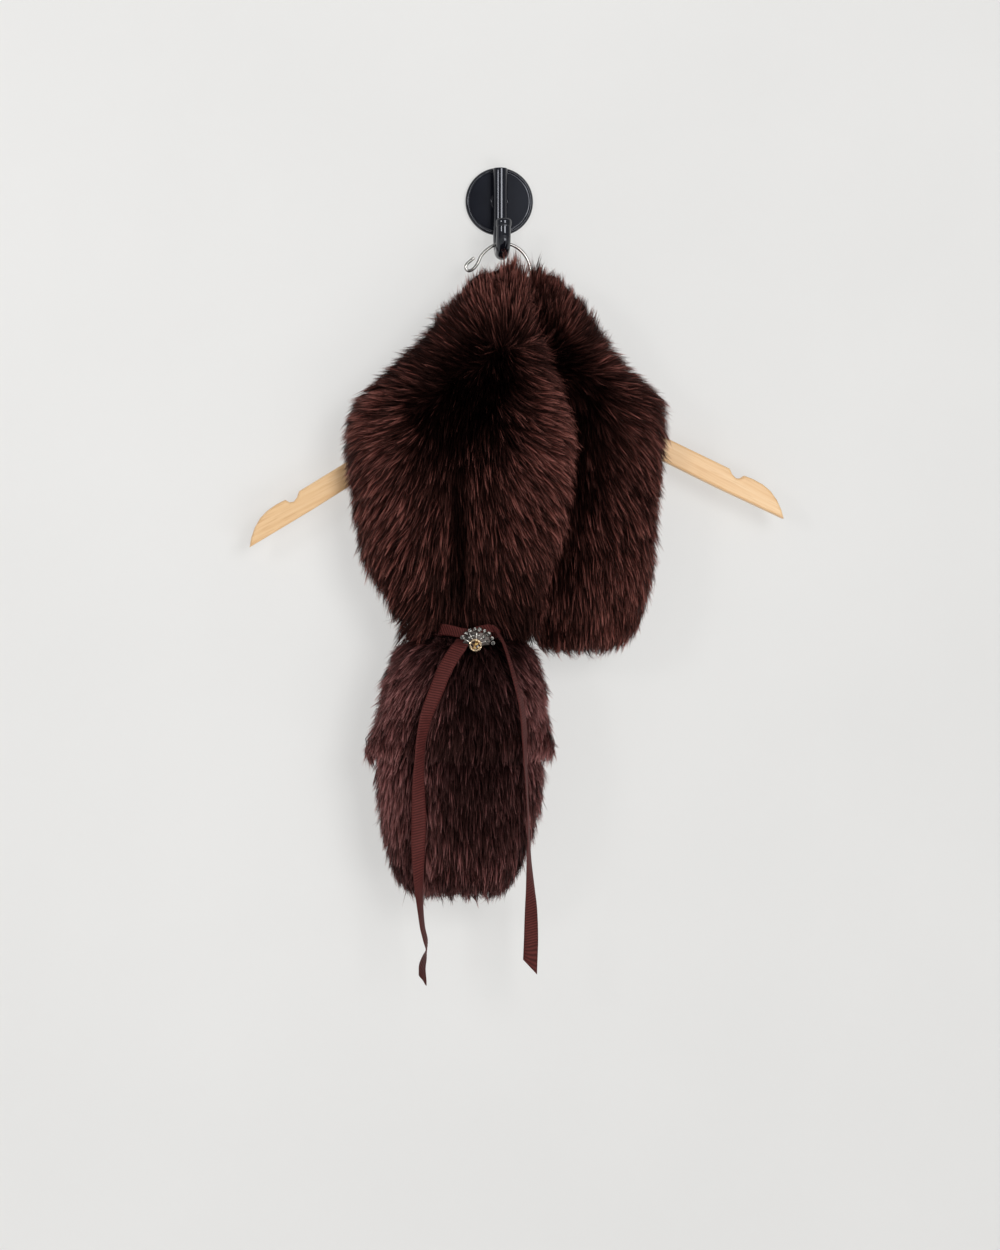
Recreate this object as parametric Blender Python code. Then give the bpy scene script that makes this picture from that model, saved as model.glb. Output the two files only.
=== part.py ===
"""A fur collar wrap that hangs on a wooden hanger from a round wall hook.

The origin is the centre of the wall plate's back face. +X is to the right of someone who faces the
wall, -Y points from the wall into the room and +Z is up. Lengths are metres; the tables below are in
millimetres, as a cutter's chart would give them, and are scaled by MM where they are used.

The wrap is one strip of long-pile fur cloth, fur side out all round. It goes behind the hanger's
neck (neck_back), over both arms, and down in front. The short end lies on the hanger, the long end
lies over it and is tied in at the waist with a ribbon, and the tail hangs below the tie. Each
stretch is a flat tube of two pelts, a front and a back, sewn together along its edges. A pelt's
outer points are the tips of its fur and its inner points are its backing cloth.
"""

import math
from collections import namedtuple

import bmesh
import bpy
from mathutils import Vector

MM = 0.001

# Clearances.
SEAM_GAP = 0.3 * MM  # between two pieces that are sewn or meet
LAY_GAP = 2.0 * MM  # between pelts that lie on each other
LEAST_PILE = 3.0 * MM  # what is left of a pelt where another presses on it

# The wall hook.
PLATE_RADIUS = 28.5 * MM
PLATE_DEPTH = 5.0 * MM
PLATE_CHAMFER = 1.5 * MM
BOSS_RADIUS = 8.0 * MM
BOSS_DEPTH = 0.8 * MM
BAR_RADIUS = 6.0 * MM
BAR_TOP = 27.0 * MM  # height of the bar's upper end
BEND_RADIUS = 16.0 * MM  # of the bar's centre line, where it turns up
BEND_HEIGHT = -29.8 * MM  # of the bend's centre
CAP_RADIUS = 6.6 * MM
CAP_TOP = -18.9 * MM
CAP_FOOT = -26.0 * MM
BAR_Y = -(PLATE_DEPTH + BOSS_DEPTH + SEAM_GAP + BAR_RADIUS)
PRONG_Y = BAR_Y - 2 * BEND_RADIUS

# The hanger. Its own frame starts where its wire rests on the bar, and it hangs a little askew.
WIRE_RADIUS = 1.5 * MM
HANGER_Y = BAR_Y - BEND_RADIUS
HANGER_Z = BEND_HEIGHT - BEND_RADIUS + BAR_RADIUS + WIRE_RADIUS + SEAM_GAP
HANGER_TILT = math.radians(-3.2)  # about Y: the right arm is the higher one
WOOD_DEPTH = 12.0 * MM
ARM_SLOPE = 0.545  # fall of an arm's upper edge for each unit outwards
ARM_TOP = -99.3 * MM  # where the upper edges would meet
ARM_FOOT = -118.5 * MM  # where the lower edges would meet
ARM_FOOT_SLOPE = 0.558
CROWN_TOP = -92.0 * MM

# The wrap's depths from the wall.
NECK_FACE_Y = -20.0 * MM  # the neck pelt's face towards the hanger
NECK_REAR_Y = -2.5 * MM  # as near to the wall as the neck pelt comes
NECK_SEAM = 2.0 * MM  # the neck pelt's wall along its edges
SEAM_Y = -51.0 * MM  # the edge seams of both ends
TIE_SEAM_Y = -60.0 * MM  # the edge seams at the waist and in the tail
WAIST_FROM = -300.0 * MM  # between these heights the long end's seams come forward to the tie
WAIST_TO = -352.0 * MM
PILE = 24.0 * MM  # from the backing cloth to the tips of the fur
BACKING_GAP = 1.5 * MM  # least distance of a backing from the middle of the tube
BACKING_INSET = 5.0 * MM  # width of the seam allowance along a tube's edges

# Where the long end climbs over the short one.
LIFT = 23.0 * MM  # how far it rises
LIFT_BEFORE = 34.0 * MM  # the climb starts this far outside the short end's edge
LIFT_AFTER = 14.0 * MM  # and ends this far inside
LIFT_AT_WAIST = 0.4  # the share of the lift that is left at the tie
LIFT_ENDS = (-358 * MM, -346 * MM)  # none is left at the tie itself
PRESSED_SHARE = 0.4  # how much the long end's back is pressed in there
LIFT_IN_PILE = 0.6  # the share of the lift that the pile takes up
LEAST_LIFTED = 0.65  # of a front's height, that the lift leaves
VALLEY_FROM = 2.0 * MM  # beside the long end the short one's pile rises again between these
VALLEY_TO = 32.0 * MM
VALLEY_FOOT = -340.0 * MM  # below this the valley runs straight down

# The neck band bends forward to the shoulder seams along its edges, clear of the arms.
SHOULDER_RIM = (17 * MM, 3 * MM)  # from an edge: where the bend starts, and where it is whole
SHOULDER_TOP = (-88 * MM, -112 * MM)
SHOULDER_FOOT = (-222 * MM, -205 * MM)
ARM_CLEARANCE = (21 * MM, 33 * MM)  # from an arm's middle: where the bend may start, and be whole

# The tie.
RIBBON_WIDTH = 12.0 * MM
RIBBON_THICK = 1.0 * MM
RIBBON_LIFT = 1.8 * MM  # how far in front of the pile a tail hangs
RIBBON_CLEAR = 6.0 * MM  # how far above and below it still clears the pile
AT_KNOT = -400.0  # above this height, in millimetres, a tail stays as far out as it starts
LEFT_START_Y = -81.0 * MM
RIGHT_START_Y = -76.0 * MM
LEFT_CUT = -4.0 * MM  # half the slant of a tail's cut; its left edge is the longer one
RIGHT_CUT = 6.0 * MM  # its right edge is the longer one
BAND_LIFT = 1.0 * MM  # how far outside the pulled-in pelts the tie lies

# Seams across the tube, in the tables' millimetres.
TIE = -365
CROSS_SEAM = -470
HALF_GAP = 0.15

# One row for each section of a tube, top to bottom, in millimetres: its height, its left and right
# edges, and how far its front and back pelts stand out from the edge seam in the middle.
TubeRow = namedtuple("TubeRow", "z left right front back")

LONG_END = [
    TubeRow(-57, -19, 6, 0, 0),
    TubeRow(-60, -26, 12, 14, 6),
    TubeRow(-68, -35, 18, 25, 10),
    TubeRow(-84, -47, 22, 32, 12),
    TubeRow(-104, -62, 27, 36, 13),
    TubeRow(-125, -80, 34, 39, 14),
    TubeRow(-146, -104, 42, 41, 14),
    TubeRow(-170, -127, 52, 43, 14),
    TubeRow(-194, -135, 59, 44, 14),
    TubeRow(-220, -135, 60, 45, 14),
    TubeRow(-247, -131, 56, 44, 14),
    TubeRow(-276, -127, 52, 42, 14),
    TubeRow(-302, -122, 45, 40, 14),
    TubeRow(-323, -114, 37, 36, 13),
    TubeRow(-340, -103, 28, 32, 12),
    TubeRow(-352, -97, 24, 26, 11),
    TubeRow(-357, -92, 20, 17, 9),
    TubeRow(-358.5, -82, 12, 9, 7),
    TubeRow(TIE + HALF_GAP, -82, 12, 9, 7),
]

SHORT_END = [
    TubeRow(-58, 27, 42, 0, 0),
    TubeRow(-61, 23, 47, 10, 6),
    TubeRow(-68, 18, 54, 19, 10),
    TubeRow(-84, 12, 69, 25, 12),
    TubeRow(-104, 7, 79, 28, 13),
    TubeRow(-125, 3, 92, 29, 14),
    TubeRow(-145, 1, 110, 30, 14),
    TubeRow(-159, -1, 127, 30, 14),
    TubeRow(-174, -2, 138, 30, 14),
    TubeRow(-205, -3, 138, 31, 14),
    TubeRow(-240, -2, 134, 32, 14),
    TubeRow(-278, 0, 131, 32, 14),
    TubeRow(-311, 3, 128, 32, 14),
    TubeRow(-336, 10, 123, 31, 14),
    TubeRow(-354, 17, 116, 28, 13),
    TubeRow(-369, 23, 108, 22, 11),
    TubeRow(-378, 30, 96, 14, 8),
    TubeRow(-383, 37, 84, 0, 0),
]

TAIL_UPPER = [
    TubeRow(TIE - HALF_GAP, -82, 12, 9, 7),
    TubeRow(-371.5, -82, 12, 9, 7),
    TubeRow(-373, -91, 22, 17, 9),
    TubeRow(-378, -96, 28, 25, 11),
    TubeRow(-390, -100, 32, 30, 13),
    TubeRow(-406, -105, 36, 33, 14),
    TubeRow(-424, -108, 39, 35, 14),
    TubeRow(-443, -112, 42, 35, 14),
    TubeRow(-459, -116, 43, 34, 14),
    TubeRow(-466, -116, 43, 32, 13),
    TubeRow(CROSS_SEAM + HALF_GAP, -111, 37, 29, 12),
]

TAIL_LOWER = [
    TubeRow(CROSS_SEAM - HALF_GAP, -107, 33, 28, 12),
    TubeRow(-478, -109, 35, 31, 13),
    TubeRow(-494, -109, 34, 32, 13),
    TubeRow(-512, -107, 31, 31, 13),
    TubeRow(-532, -104, 25, 30, 13),
    TubeRow(-552, -99, 18, 28, 12),
    TubeRow(-567, -93, 11, 24, 11),
    TubeRow(-577, -84, 2, 17, 8),
    TubeRow(-583, -72, -10, 0, 0),
]

# The neck band: one pelt, whose wall is as thick as this in the middle, in millimetres.
BandRow = namedtuple("BandRow", "z left right wall")

NECK_BAND = [
    BandRow(-61, -16, 43, 0),
    BandRow(-67, -27, 51, 11),
    BandRow(-84, -39, 62, 14),
    BandRow(-105, -54, 73, 15),
    BandRow(-126, -72, 85, 16),
    BandRow(-146, -95, 102, 16),
    BandRow(-160, -109, 118, 16),
    BandRow(-176, -118, 128, 16),
    BandRow(-198, -124, 130, 16),
    BandRow(-218, -124, 128, 16),
    BandRow(-230, -114, 119, 15),
    BandRow(-239, -92, 98, 12),
    BandRow(-244, -66, 70, 0),
]

# Soft troughs across a tube's front, in millimetres: from one end to the other, how wide each is
# from its middle to its side, and how deep at each end.
Trough = namedtuple("Trough", "x_top z_top x_foot z_foot reach depth_top depth_foot")

LONG_END_FOLDS = [
    Trough(-37, -205, -39, -362, 16, 2, 17),  # the long crease down to the knot
    Trough(-86, -270, -68, -358, 13, 0, 9),
    Trough(12, -290, -8, -358, 13, 0, 8),
    Trough(-112, -300, -92, -352, 9, 0, 5),
]
SHORT_END_FOLDS = [
    Trough(96, -235, 90, -372, 16, 0, 4),
]
TAIL_FOLDS = [
    Trough(-34, -366, -36, -440, 20, 9, 0),  # the hollow under the knot
    Trough(-62, -368, -84, -425, 10, 6, 0),
    Trough(-4, -368, 14, -425, 10, 6, 0),
    Trough(-84, -368, -104, -410, 9, 3, 0),
]

# A ribbon's route from the knot, in millimetres: its height, its middle, and how far it has turned
# about its own length, in degrees; 0 shows its full width.
RibbonRow = namedtuple("RibbonRow", "z x turn")

RIBBON_LEFT = [
    RibbonRow(-375, -42, 0),
    RibbonRow(-384, -47, 0),
    RibbonRow(-394, -53, 3),
    RibbonRow(-405, -57.5, 8),
    RibbonRow(-418, -63, 16),
    RibbonRow(-431, -68, 28),
    RibbonRow(-450, -72, 42),
    RibbonRow(-466, -73.3, 42),
    RibbonRow(-481, -74, 34),
    RibbonRow(-497, -74, 20),
    RibbonRow(-512, -73.7, 5),
    RibbonRow(-530, -74, 8),
    RibbonRow(-548, -74, 26),
    RibbonRow(-564, -73.6, 44),
    RibbonRow(-580, -72.8, 60),
    RibbonRow(-592, -71.4, 70),
    RibbonRow(-605, -70, 76),
    RibbonRow(-617, -68, 84),
    RibbonRow(-626, -68, 100),
    RibbonRow(-635, -70, 122),
    RibbonRow(-642, -71, 114),
]
RIBBON_RIGHT = [
    RibbonRow(-357, -13, 50),
    RibbonRow(-363, -8.2, 64),
    RibbonRow(-372, -3.6, 70),
    RibbonRow(-386, 0.6, 72),
    RibbonRow(-401, 4.6, 72),
    RibbonRow(-416, 8.6, 68),
    RibbonRow(-430, 11, 68),
    RibbonRow(-448, 12.2, 71),
    RibbonRow(-467, 13.1, 74),
    RibbonRow(-491, 14.6, 77),
    RibbonRow(-520, 16.1, 80),
    RibbonRow(-536, 16.8, 76),
    RibbonRow(-552, 17.4, 66),
    RibbonRow(-574, 18.6, 46),
    RibbonRow(-590, 19.2, 27),
    RibbonRow(-611, 19.2, 8),
    RibbonRow(-626, 18.6, 0),
]

# The knot and the brooch on it, in millimetres.
KNOT_SIZE = (29, 9, 13)
KNOT_AT = (-26, -77.5, -366)
KNOT_WAIST = 0.22  # how much lower the knot is in its middle
KNOT_SQUARENESS = 0.72  # 1 would be an egg, and less is boxier
SETTING_RADIUS = (13.5, 10.0)  # half width and height of the fan of small stones
SETTING_AT = (-25.0, -369.5)
SETTING_DEPTH = 2.0 * MM
SCALLOPS = 9
SCALLOP_RISE = 0.10
SETTING_FOOT = 0.55  # the lower half's height for the upper one's
STONE_AT = (-26.5, -373.0)
STONE_RADIUS = 5.0 * MM
STONE_GIRDLE = 1.6 * MM
STONE_TABLE = 0.72  # the table's radius for the girdle's
STONE_DEPTH = 3.2 * MM
SETTING_Y = (KNOT_AT[1] - KNOT_SIZE[1] / 2) * MM - SEAM_GAP  # of the setting's back

# How finely the pelts are divided, and how their sections are rounded.
COLUMNS = 19  # points across a tube's pelt
BAND_COLUMNS = 17
FRONT_POWER = 2.5
BACK_POWER = 4.0
LEAST_SHARE = 0.4  # of a front's height, that is left in the deepest trough
ROW_SLACK = 0.01 * MM  # how far past its last row a section still counts


# ---- the scene's helpers


def material(name, colour, roughness, metallic=0.0):
    """A Principled material."""
    made = bpy.data.materials.new(name)
    made.use_nodes = True
    shader = made.node_tree.nodes["Principled BSDF"]
    shader.inputs["Base Color"].default_value = (*colour, 1.0)
    shader.inputs["Roughness"].default_value = roughness
    shader.inputs["Metallic"].default_value = metallic
    made.diffuse_color = (*colour, 1.0)
    return made


def add_object(name, mesh, finish, parent=None):
    """Puts a mesh or a curve in the scene under its node's name."""
    made = bpy.data.objects.new(name, mesh)
    made.data.materials.append(finish)
    bpy.context.scene.collection.objects.link(made)
    made.parent = parent
    return made


def mesh_of(name, points, faces, sharp_degrees=40):
    """A closed mesh with its faces pointing out, shaded smooth except at sharp edges."""
    mesh = bpy.data.meshes.new(name)
    mesh.from_pydata(points, [], faces)
    work = bmesh.new()
    work.from_mesh(mesh)
    bmesh.ops.recalc_face_normals(work, faces=work.faces)
    if work.calc_volume(signed=True) < 0:
        bmesh.ops.reverse_faces(work, faces=work.faces)
    work.to_mesh(mesh)
    work.free()
    mesh.shade_smooth()
    mesh.set_sharp_from_angle(angle=math.radians(sharp_degrees))
    return mesh


def smoothstep(start, end, value):
    """0 before start, 1 after end, and a smooth rise between them; start may be the larger."""
    share = min(max((value - start) / (end - start), 0.0), 1.0)
    return share * share * (3 - 2 * share)


def smooth_path(points, steps):
    """Points on a Catmull-Rom curve through the given ones, with some steps between each two."""
    vectors = [Vector(p) for p in points]
    path = []
    for k in range(len(vectors) - 1):
        before = vectors[max(k - 1, 0)]
        here, there = vectors[k], vectors[k + 1]
        after = vectors[min(k + 2, len(vectors) - 1)]
        for step in range(steps):
            t = step / steps
            path.append(
                0.5
                * (
                    2 * here
                    + (there - before) * t
                    + (2 * before - 5 * here + 4 * there - after) * t * t
                    + (3 * here - before - 3 * there + after) * t * t * t
                )
            )
    return path + [vectors[-1]]


def rod_curve(name, path, radius, resolution):
    """A round rod with closed ends along a path."""
    curve = bpy.data.curves.new(name, "CURVE")
    curve.dimensions = "3D"
    curve.bevel_depth = radius
    curve.bevel_resolution = resolution
    curve.use_fill_caps = True
    spline = curve.splines.new("POLY")
    spline.points.add(len(path) - 1)
    for point, place in zip(spline.points, path):
        point.co = (*place, 1.0)
    return curve


def turned(name, profile, centre, sides, axis):
    """A solid turned from (radius, along) points, from one end of its axis to the other."""
    turn = axis.to_track_quat("Z", "Y").to_matrix().to_4x4()
    points, rings = [], []
    for radius, along in profile:
        count = 1 if radius == 0 else sides
        rings.append(range(len(points), len(points) + count))
        for k in range(count):
            angle = 2 * math.pi * k / sides
            place = Vector((radius * math.cos(angle), radius * math.sin(angle), along))
            points.append(Vector(centre) + turn @ place)
    faces = []
    for a, b in zip(rings, rings[1:]):
        for k in range(sides):
            after = (k + 1) % sides
            corners = [a[k % len(a)], a[after % len(a)], b[after % len(b)], b[k % len(b)]]
            faces.append(list(dict.fromkeys(corners)))
    return mesh_of(name, points, faces)


# ---- the wall hook


def wall_plate(finish):
    """The round plate, with a raised boss that the bar stands on."""
    profile = [
        (0, 0),
        (PLATE_RADIUS, 0),
        (PLATE_RADIUS, PLATE_DEPTH - PLATE_CHAMFER),
        (PLATE_RADIUS - PLATE_CHAMFER, PLATE_DEPTH),
        (BOSS_RADIUS + BOSS_DEPTH / 2, PLATE_DEPTH),
        (BOSS_RADIUS, PLATE_DEPTH + BOSS_DEPTH),
        (0, PLATE_DEPTH + BOSS_DEPTH),
    ]
    mesh = turned("wall_plate", profile, (0, 0, 0), 48, Vector((0, -1, 0)))
    return add_object("wall_plate", mesh, finish)


def wall_bar(finish):
    """The bar: down across the plate, round the bend and up to the cap."""
    path = [Vector((0, BAR_Y, BAR_TOP)), Vector((0, BAR_Y, BEND_HEIGHT))]
    turns = 12
    for k in range(1, turns):
        angle = math.pi * k / turns
        path.append(
            Vector(
                (
                    0,
                    HANGER_Y + BEND_RADIUS * math.cos(angle),
                    BEND_HEIGHT - BEND_RADIUS * math.sin(angle),
                )
            )
        )
    path += [Vector((0, PRONG_Y, BEND_HEIGHT)), Vector((0, PRONG_Y, CAP_FOOT - SEAM_GAP))]
    return add_object("wall_bar", rod_curve("wall_bar", path, BAR_RADIUS, 4), finish)


def bar_cap(finish):
    """The rounded cap on the bar's short upright end."""
    length = CAP_TOP - CAP_FOOT
    profile = [
        (0, 0),
        (BAR_RADIUS, 0),
        (CAP_RADIUS, 0.45 * length),
        (CAP_RADIUS, length - 2.5 * MM),
        (CAP_RADIUS - 0.8 * MM, length - 0.8 * MM),
        (CAP_RADIUS - 2.6 * MM, length),
        (0, length),
    ]
    mesh = turned("bar_cap", profile, (0, PRONG_Y, CAP_FOOT), 20, Vector((0, 0, 1)))
    return add_object("bar_cap", mesh, finish)


# ---- the hanger


def half_wood_outline():
    """The right half of the hanger's outline as (x, z), from the crown's top to the middle below."""
    notch = 180.5 * MM
    upper = [
        (0.0, CROWN_TOP),
        (8 * MM, CROWN_TOP),
        (13 * MM, CROWN_TOP - 2.5 * MM),
        (18 * MM, CROWN_TOP - 8 * MM),
        (24 * MM, CROWN_TOP - 15 * MM),
        (33 * MM, ARM_TOP - ARM_SLOPE * 33 * MM),
        (90 * MM, ARM_TOP - ARM_SLOPE * 90 * MM),
    ]
    at_notch = ARM_TOP - ARM_SLOPE * notch
    strap_notch = [
        (notch, at_notch),
        (notch + 2.0 * MM, at_notch - 5.0 * MM),
        (notch + 5.0 * MM, at_notch - 8.4 * MM),
        (notch + 8.5 * MM, at_notch - 8.8 * MM),
        (notch + 12.0 * MM, at_notch - 6.6 * MM),
    ]
    shoulder = [
        (200 * MM, -207.6 * MM),
        (208 * MM, -212.6 * MM),
        (214 * MM, -218.2 * MM),
        (219 * MM, -226.0 * MM),
        (222.4 * MM, -234.5 * MM),
        (224 * MM, -242 * MM),
    ]
    lower = [
        (170 * MM, ARM_FOOT - ARM_FOOT_SLOPE * 170 * MM),
        (90 * MM, ARM_FOOT - ARM_FOOT_SLOPE * 90 * MM),
        (28 * MM, ARM_FOOT - ARM_FOOT_SLOPE * 28 * MM),
        (13 * MM, ARM_FOOT - ARM_FOOT_SLOPE * 15 * MM),
        (0.0, ARM_FOOT - 4.5 * MM),
    ]
    return upper + strap_notch + shoulder + lower


def winding(outline):
    """1 for an outline that runs anticlockwise, -1 for one that runs clockwise."""
    area = sum(a.cross(b) for a, b in zip(outline, outline[1:] + outline[:1]))
    return math.copysign(1.0, area)


def joined_loops(loops, ring=False):
    """Points and faces of a wall through equal loops, closed into a ring or with both ends filled."""
    count = len(loops[0])
    points = [p for loop in loops for p in loop]
    starts = [count * k for k in range(len(loops))]
    pairs = list(zip(starts, starts[1:]))
    faces = []
    if ring:
        pairs.append((starts[-1], 0))
    else:
        faces += [list(range(count)), list(range(starts[-1], len(points)))]
    for a, b in pairs:
        for k in range(count):
            after = (k + 1) % count
            faces.append([a + k, a + after, b + after, b + k])
    return points, faces


def inset_outline(outline, distance):
    """A closed outline, in order, with each corner moved in by a distance."""
    moved = []
    count = len(outline)
    for k, here in enumerate(outline):
        before, after = outline[k - 1], outline[(k + 1) % count]
        come = (here - before).normalized()
        leave = (after - here).normalized()
        bisector = (come.orthogonal() + leave.orthogonal()).normalized()
        moved.append(here + bisector * (distance / max(bisector.dot(come.orthogonal()), 0.5)))
    return moved


def hanger_wood(finish, hanger):
    """One board with a crown, two arms with strap notches, and rounded edges."""
    right = half_wood_outline()
    left = [(-x, z) for x, z in reversed(right[1:-1])]
    outline = [Vector(p) for p in right + left]
    inwards = winding(outline)
    half = WOOD_DEPTH / 2
    rounding = [(1.6 * MM, half), (0.5 * MM, half - 0.5 * MM), (0.0, half - 1.6 * MM)]
    levels = [(inset, -y) for inset, y in rounding] + [(inset, y) for inset, y in reversed(rounding)]
    loops = []
    for inset, y in levels:
        loops.append([Vector((p.x, y, p.y)) for p in inset_outline(outline, inwards * inset)])
    mesh = mesh_of("hanger_wood", *joined_loops(loops), sharp_degrees=50)
    return add_object("hanger_wood", mesh, finish, hanger)


def hanger_hook(finish, hanger):
    """The wire: a curled end, the round hook, and the stem down to the crown."""
    loop_radius = 22.6 * MM
    curl = [(-21.5, -12.6), (-28.5, -17.6), (-30.6, -21.5), (-27.4, -24.0), (-23.6, -21.6)]
    curl = [Vector((x * MM, 0, z * MM)) for x, z in curl]
    arc = []
    for degrees in range(192, -31, -12):
        angle = math.radians(degrees)
        arc.append(
            Vector((loop_radius * math.cos(angle), 0, loop_radius * (math.sin(angle) - 1)))
        )
    stem_top = CROWN_TOP + SEAM_GAP
    stem = [(12.4, -43.4), (4.6, -50.6), (0.6, -58.0), (0, -66.0), (0, -78.0)]
    stem = [Vector((x * MM, 0, z * MM)) for x, z in stem] + [Vector((0, 0, stem_top))]
    path = smooth_path(curl + arc + stem, 2)
    return add_object("hanger_hook", rod_curve("hanger_hook", path, WIRE_RADIUS, 2), finish, hanger)


def near_wood(x, z):
    """1 on the hanger's arms and just round them, 0 well clear, at a place in the wrap's frame."""
    dx, dz = x, z - HANGER_Z
    along = dx * math.cos(HANGER_TILT) - dz * math.sin(HANGER_TILT)
    up = dx * math.sin(HANGER_TILT) + dz * math.cos(HANGER_TILT)
    middle = (ARM_TOP + ARM_FOOT) / 2 - ARM_SLOPE * abs(along)
    off = abs(up - middle) * math.cos(math.atan(ARM_SLOPE))
    return 1 - smoothstep(*ARM_CLEARANCE, off)


# ---- the fur tubes


def row_at(rows, z):
    """A tube's section at any height, in metres: read between two rows, or its end row past them."""
    height = min(max(z / MM, rows[-1].z), rows[0].z)
    for above, below in zip(rows, rows[1:]):
        if height >= below.z:
            share = (above.z - height) / (above.z - below.z)
            return [MM * (a + (b - a) * share) for a, b in zip(above, below)]


def spread(i, count):
    """How far across a pelt, from 0 to 1, its column number i lies: the columns close up at its edges."""
    return 0.5 - 0.5 * math.cos(math.pi * i / (count - 1))


def crown(across, power):
    """The rounded profile of a tube's section: 0 at its edges and 1 in its middle."""
    return (1 - abs(2 * across - 1) ** power) ** (1 / power)


def fold_depth(folds, x, z):
    """How much the troughs lower a tube's front at a place."""
    depth = 0.0
    for fold in folds:
        share = (fold.z_top * MM - z) / ((fold.z_top - fold.z_foot) * MM)
        if -0.15 <= share <= 1.15:
            along = min(max(share, 0.0), 1.0)
            middle = MM * (fold.x_top + (fold.x_foot - fold.x_top) * share)
            deep = MM * (fold.depth_top + (fold.depth_foot - fold.depth_top) * along)
            fade = smoothstep(-0.15, 0.0, share) * smoothstep(1.15, 1.0, share)
            depth += deep * fade * math.exp(-(((x - middle) / (fold.reach * MM)) ** 2))
    return depth


def flat_seam(x, z):
    return SEAM_Y


def over_short(x, z):
    """0 where the long end lies beside the short one, and 1 where it lies on it."""
    edge = row_at(SHORT_END, z)[1]
    return smoothstep(edge - LIFT_BEFORE, edge + LIFT_AFTER, x)


def lifted_seam(x, z):
    """The long end's edge seam: it rises where it crosses the short end, and towards the tie."""
    over = over_short(x, z) * smoothstep(*LIFT_ENDS, z)
    low = smoothstep(WAIST_FROM, WAIST_TO, z)
    lift = LIFT * over * (1 - low + LIFT_AT_WAIST * low)
    return SEAM_Y - lift + (TIE_SEAM_Y - SEAM_Y) * low * (1 - LIFT_AT_WAIST * over)


def tail_seam(x, z):
    return TIE_SEAM_Y


def tube_face(rows, seam, folds, side, x, z):
    """The fur's outer face at a place: side is -1 for the front pelt and +1 for the back one."""
    height, left, right, front, back = row_at(rows, z)
    if abs(height - z) > ROW_SLACK or not left < x < right:
        return None
    across = (x - left) / (right - left)
    if side < 0:
        shape = crown(across, FRONT_POWER)
        taken = LIFT_IN_PILE * (SEAM_Y - seam(x, z)) if seam is lifted_seam else 0.0
        stands = max(front - taken, LEAST_LIFTED * front) * shape
        stands = max(stands - fold_depth(folds, x, z) * shape, LEAST_SHARE * stands)
    else:
        stands = back * crown(across, BACK_POWER)
        if seam is lifted_seam:
            stands *= 1 - PRESSED_SHARE * over_short(x, z)
    return seam(x, z) + side * (SEAM_GAP / 2 + stands)


def long_end_face(side, x, z):
    return tube_face(LONG_END, lifted_seam, LONG_END_FOLDS, side, x, z)


def short_end_face(side, x, z):
    """The short end's face; its front is pressed back where the long end lies on it."""
    face = tube_face(SHORT_END, flat_seam, SHORT_END_FOLDS, side, x, z)
    if face is None or side > 0:
        return face
    height = max(z, LONG_END[-1].z * MM)
    under = min(x, row_at(LONG_END, height)[2] - BACKING_INSET)
    pressed = max(face, min(long_end_face(1, under, height) + LAY_GAP, SEAM_Y - LEAST_PILE))
    edge = row_at(LONG_END, max(z, VALLEY_FOOT))[2]
    return pressed + (face - pressed) * smoothstep(edge + VALLEY_FROM, edge + VALLEY_TO, x)


def tail_upper_face(side, x, z):
    return tube_face(TAIL_UPPER, tail_seam, TAIL_FOLDS, side, x, z)


def tail_lower_face(side, x, z):
    return tube_face(TAIL_LOWER, tail_seam, [], side, x, z)


def grid_solid(name, outer, inner):
    """A closed wall between two grids of points with the same rows and columns."""
    rows, columns = len(outer), len(outer[0])
    points = [p for row in outer for p in row] + [p for row in inner for p in row]
    size = rows * columns

    def at(layer, j, i):
        return layer * size + j * columns + i

    faces = []
    for layer in range(2):
        for j in range(rows - 1):
            for i in range(columns - 1):
                a, b = at(layer, j, i), at(layer, j, i + 1)
                c, d = at(layer, j + 1, i + 1), at(layer, j + 1, i)
                faces += [[a, b, c], [a, c, d]]
    edge = [(0, i) for i in range(columns)]
    edge += [(j, columns - 1) for j in range(1, rows)]
    edge += [(rows - 1, i) for i in range(columns - 2, -1, -1)]
    edge += [(j, 0) for j in range(rows - 2, 0, -1)]
    for here, after in zip(edge, edge[1:] + edge[:1]):
        a, b = at(0, *here), at(0, *after)
        c, d = at(1, *after), at(1, *here)
        faces += [[a, b, c], [a, c, d]]
    return mesh_of(name, points, faces, 60)


def pelt(name, rows, face, seam, side, finish):
    """One side of a fur tube: fur tips outside, backing cloth inside, and a seam all round."""
    top, foot = rows[0].z * MM, rows[-1].z * MM
    inner_top = top - BACKING_INSET if rows[0].front == 0 else top
    inner_foot = foot + BACKING_INSET if rows[-1].front == 0 else foot
    outer, inner = [], []
    for j, row in enumerate(rows):
        z = row.z * MM
        inner_z = inner_top + (inner_foot - inner_top) * (top - z) / (top - foot)
        section = row_at(rows, inner_z)
        left, right = section[1] + BACKING_INSET, section[2] - BACKING_INSET
        outer_row, inner_row = [], []
        for i in range(COLUMNS):
            across = spread(i, COLUMNS)
            x = MM * (row.left + (row.right - row.left) * across)
            on_edge = i in (0, COLUMNS - 1)
            y = seam(x, z) + side * SEAM_GAP / 2 if on_edge else face(side, x, z)
            outer_row.append(Vector((x, y, z)))
            x = left + (right - left) * across
            y = seam(x, inner_z) + side * SEAM_GAP / 2
            if not on_edge and 0 < j < len(rows) - 1:
                stands = side * (face(side, x, inner_z) - y)
                y += side * max(BACKING_GAP, stands - PILE)
            inner_row.append(Vector((x, y, inner_z)))
        outer.append(outer_row)
        inner.append(inner_row)
    return add_object(name, grid_solid(name, outer, inner), finish)


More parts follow.
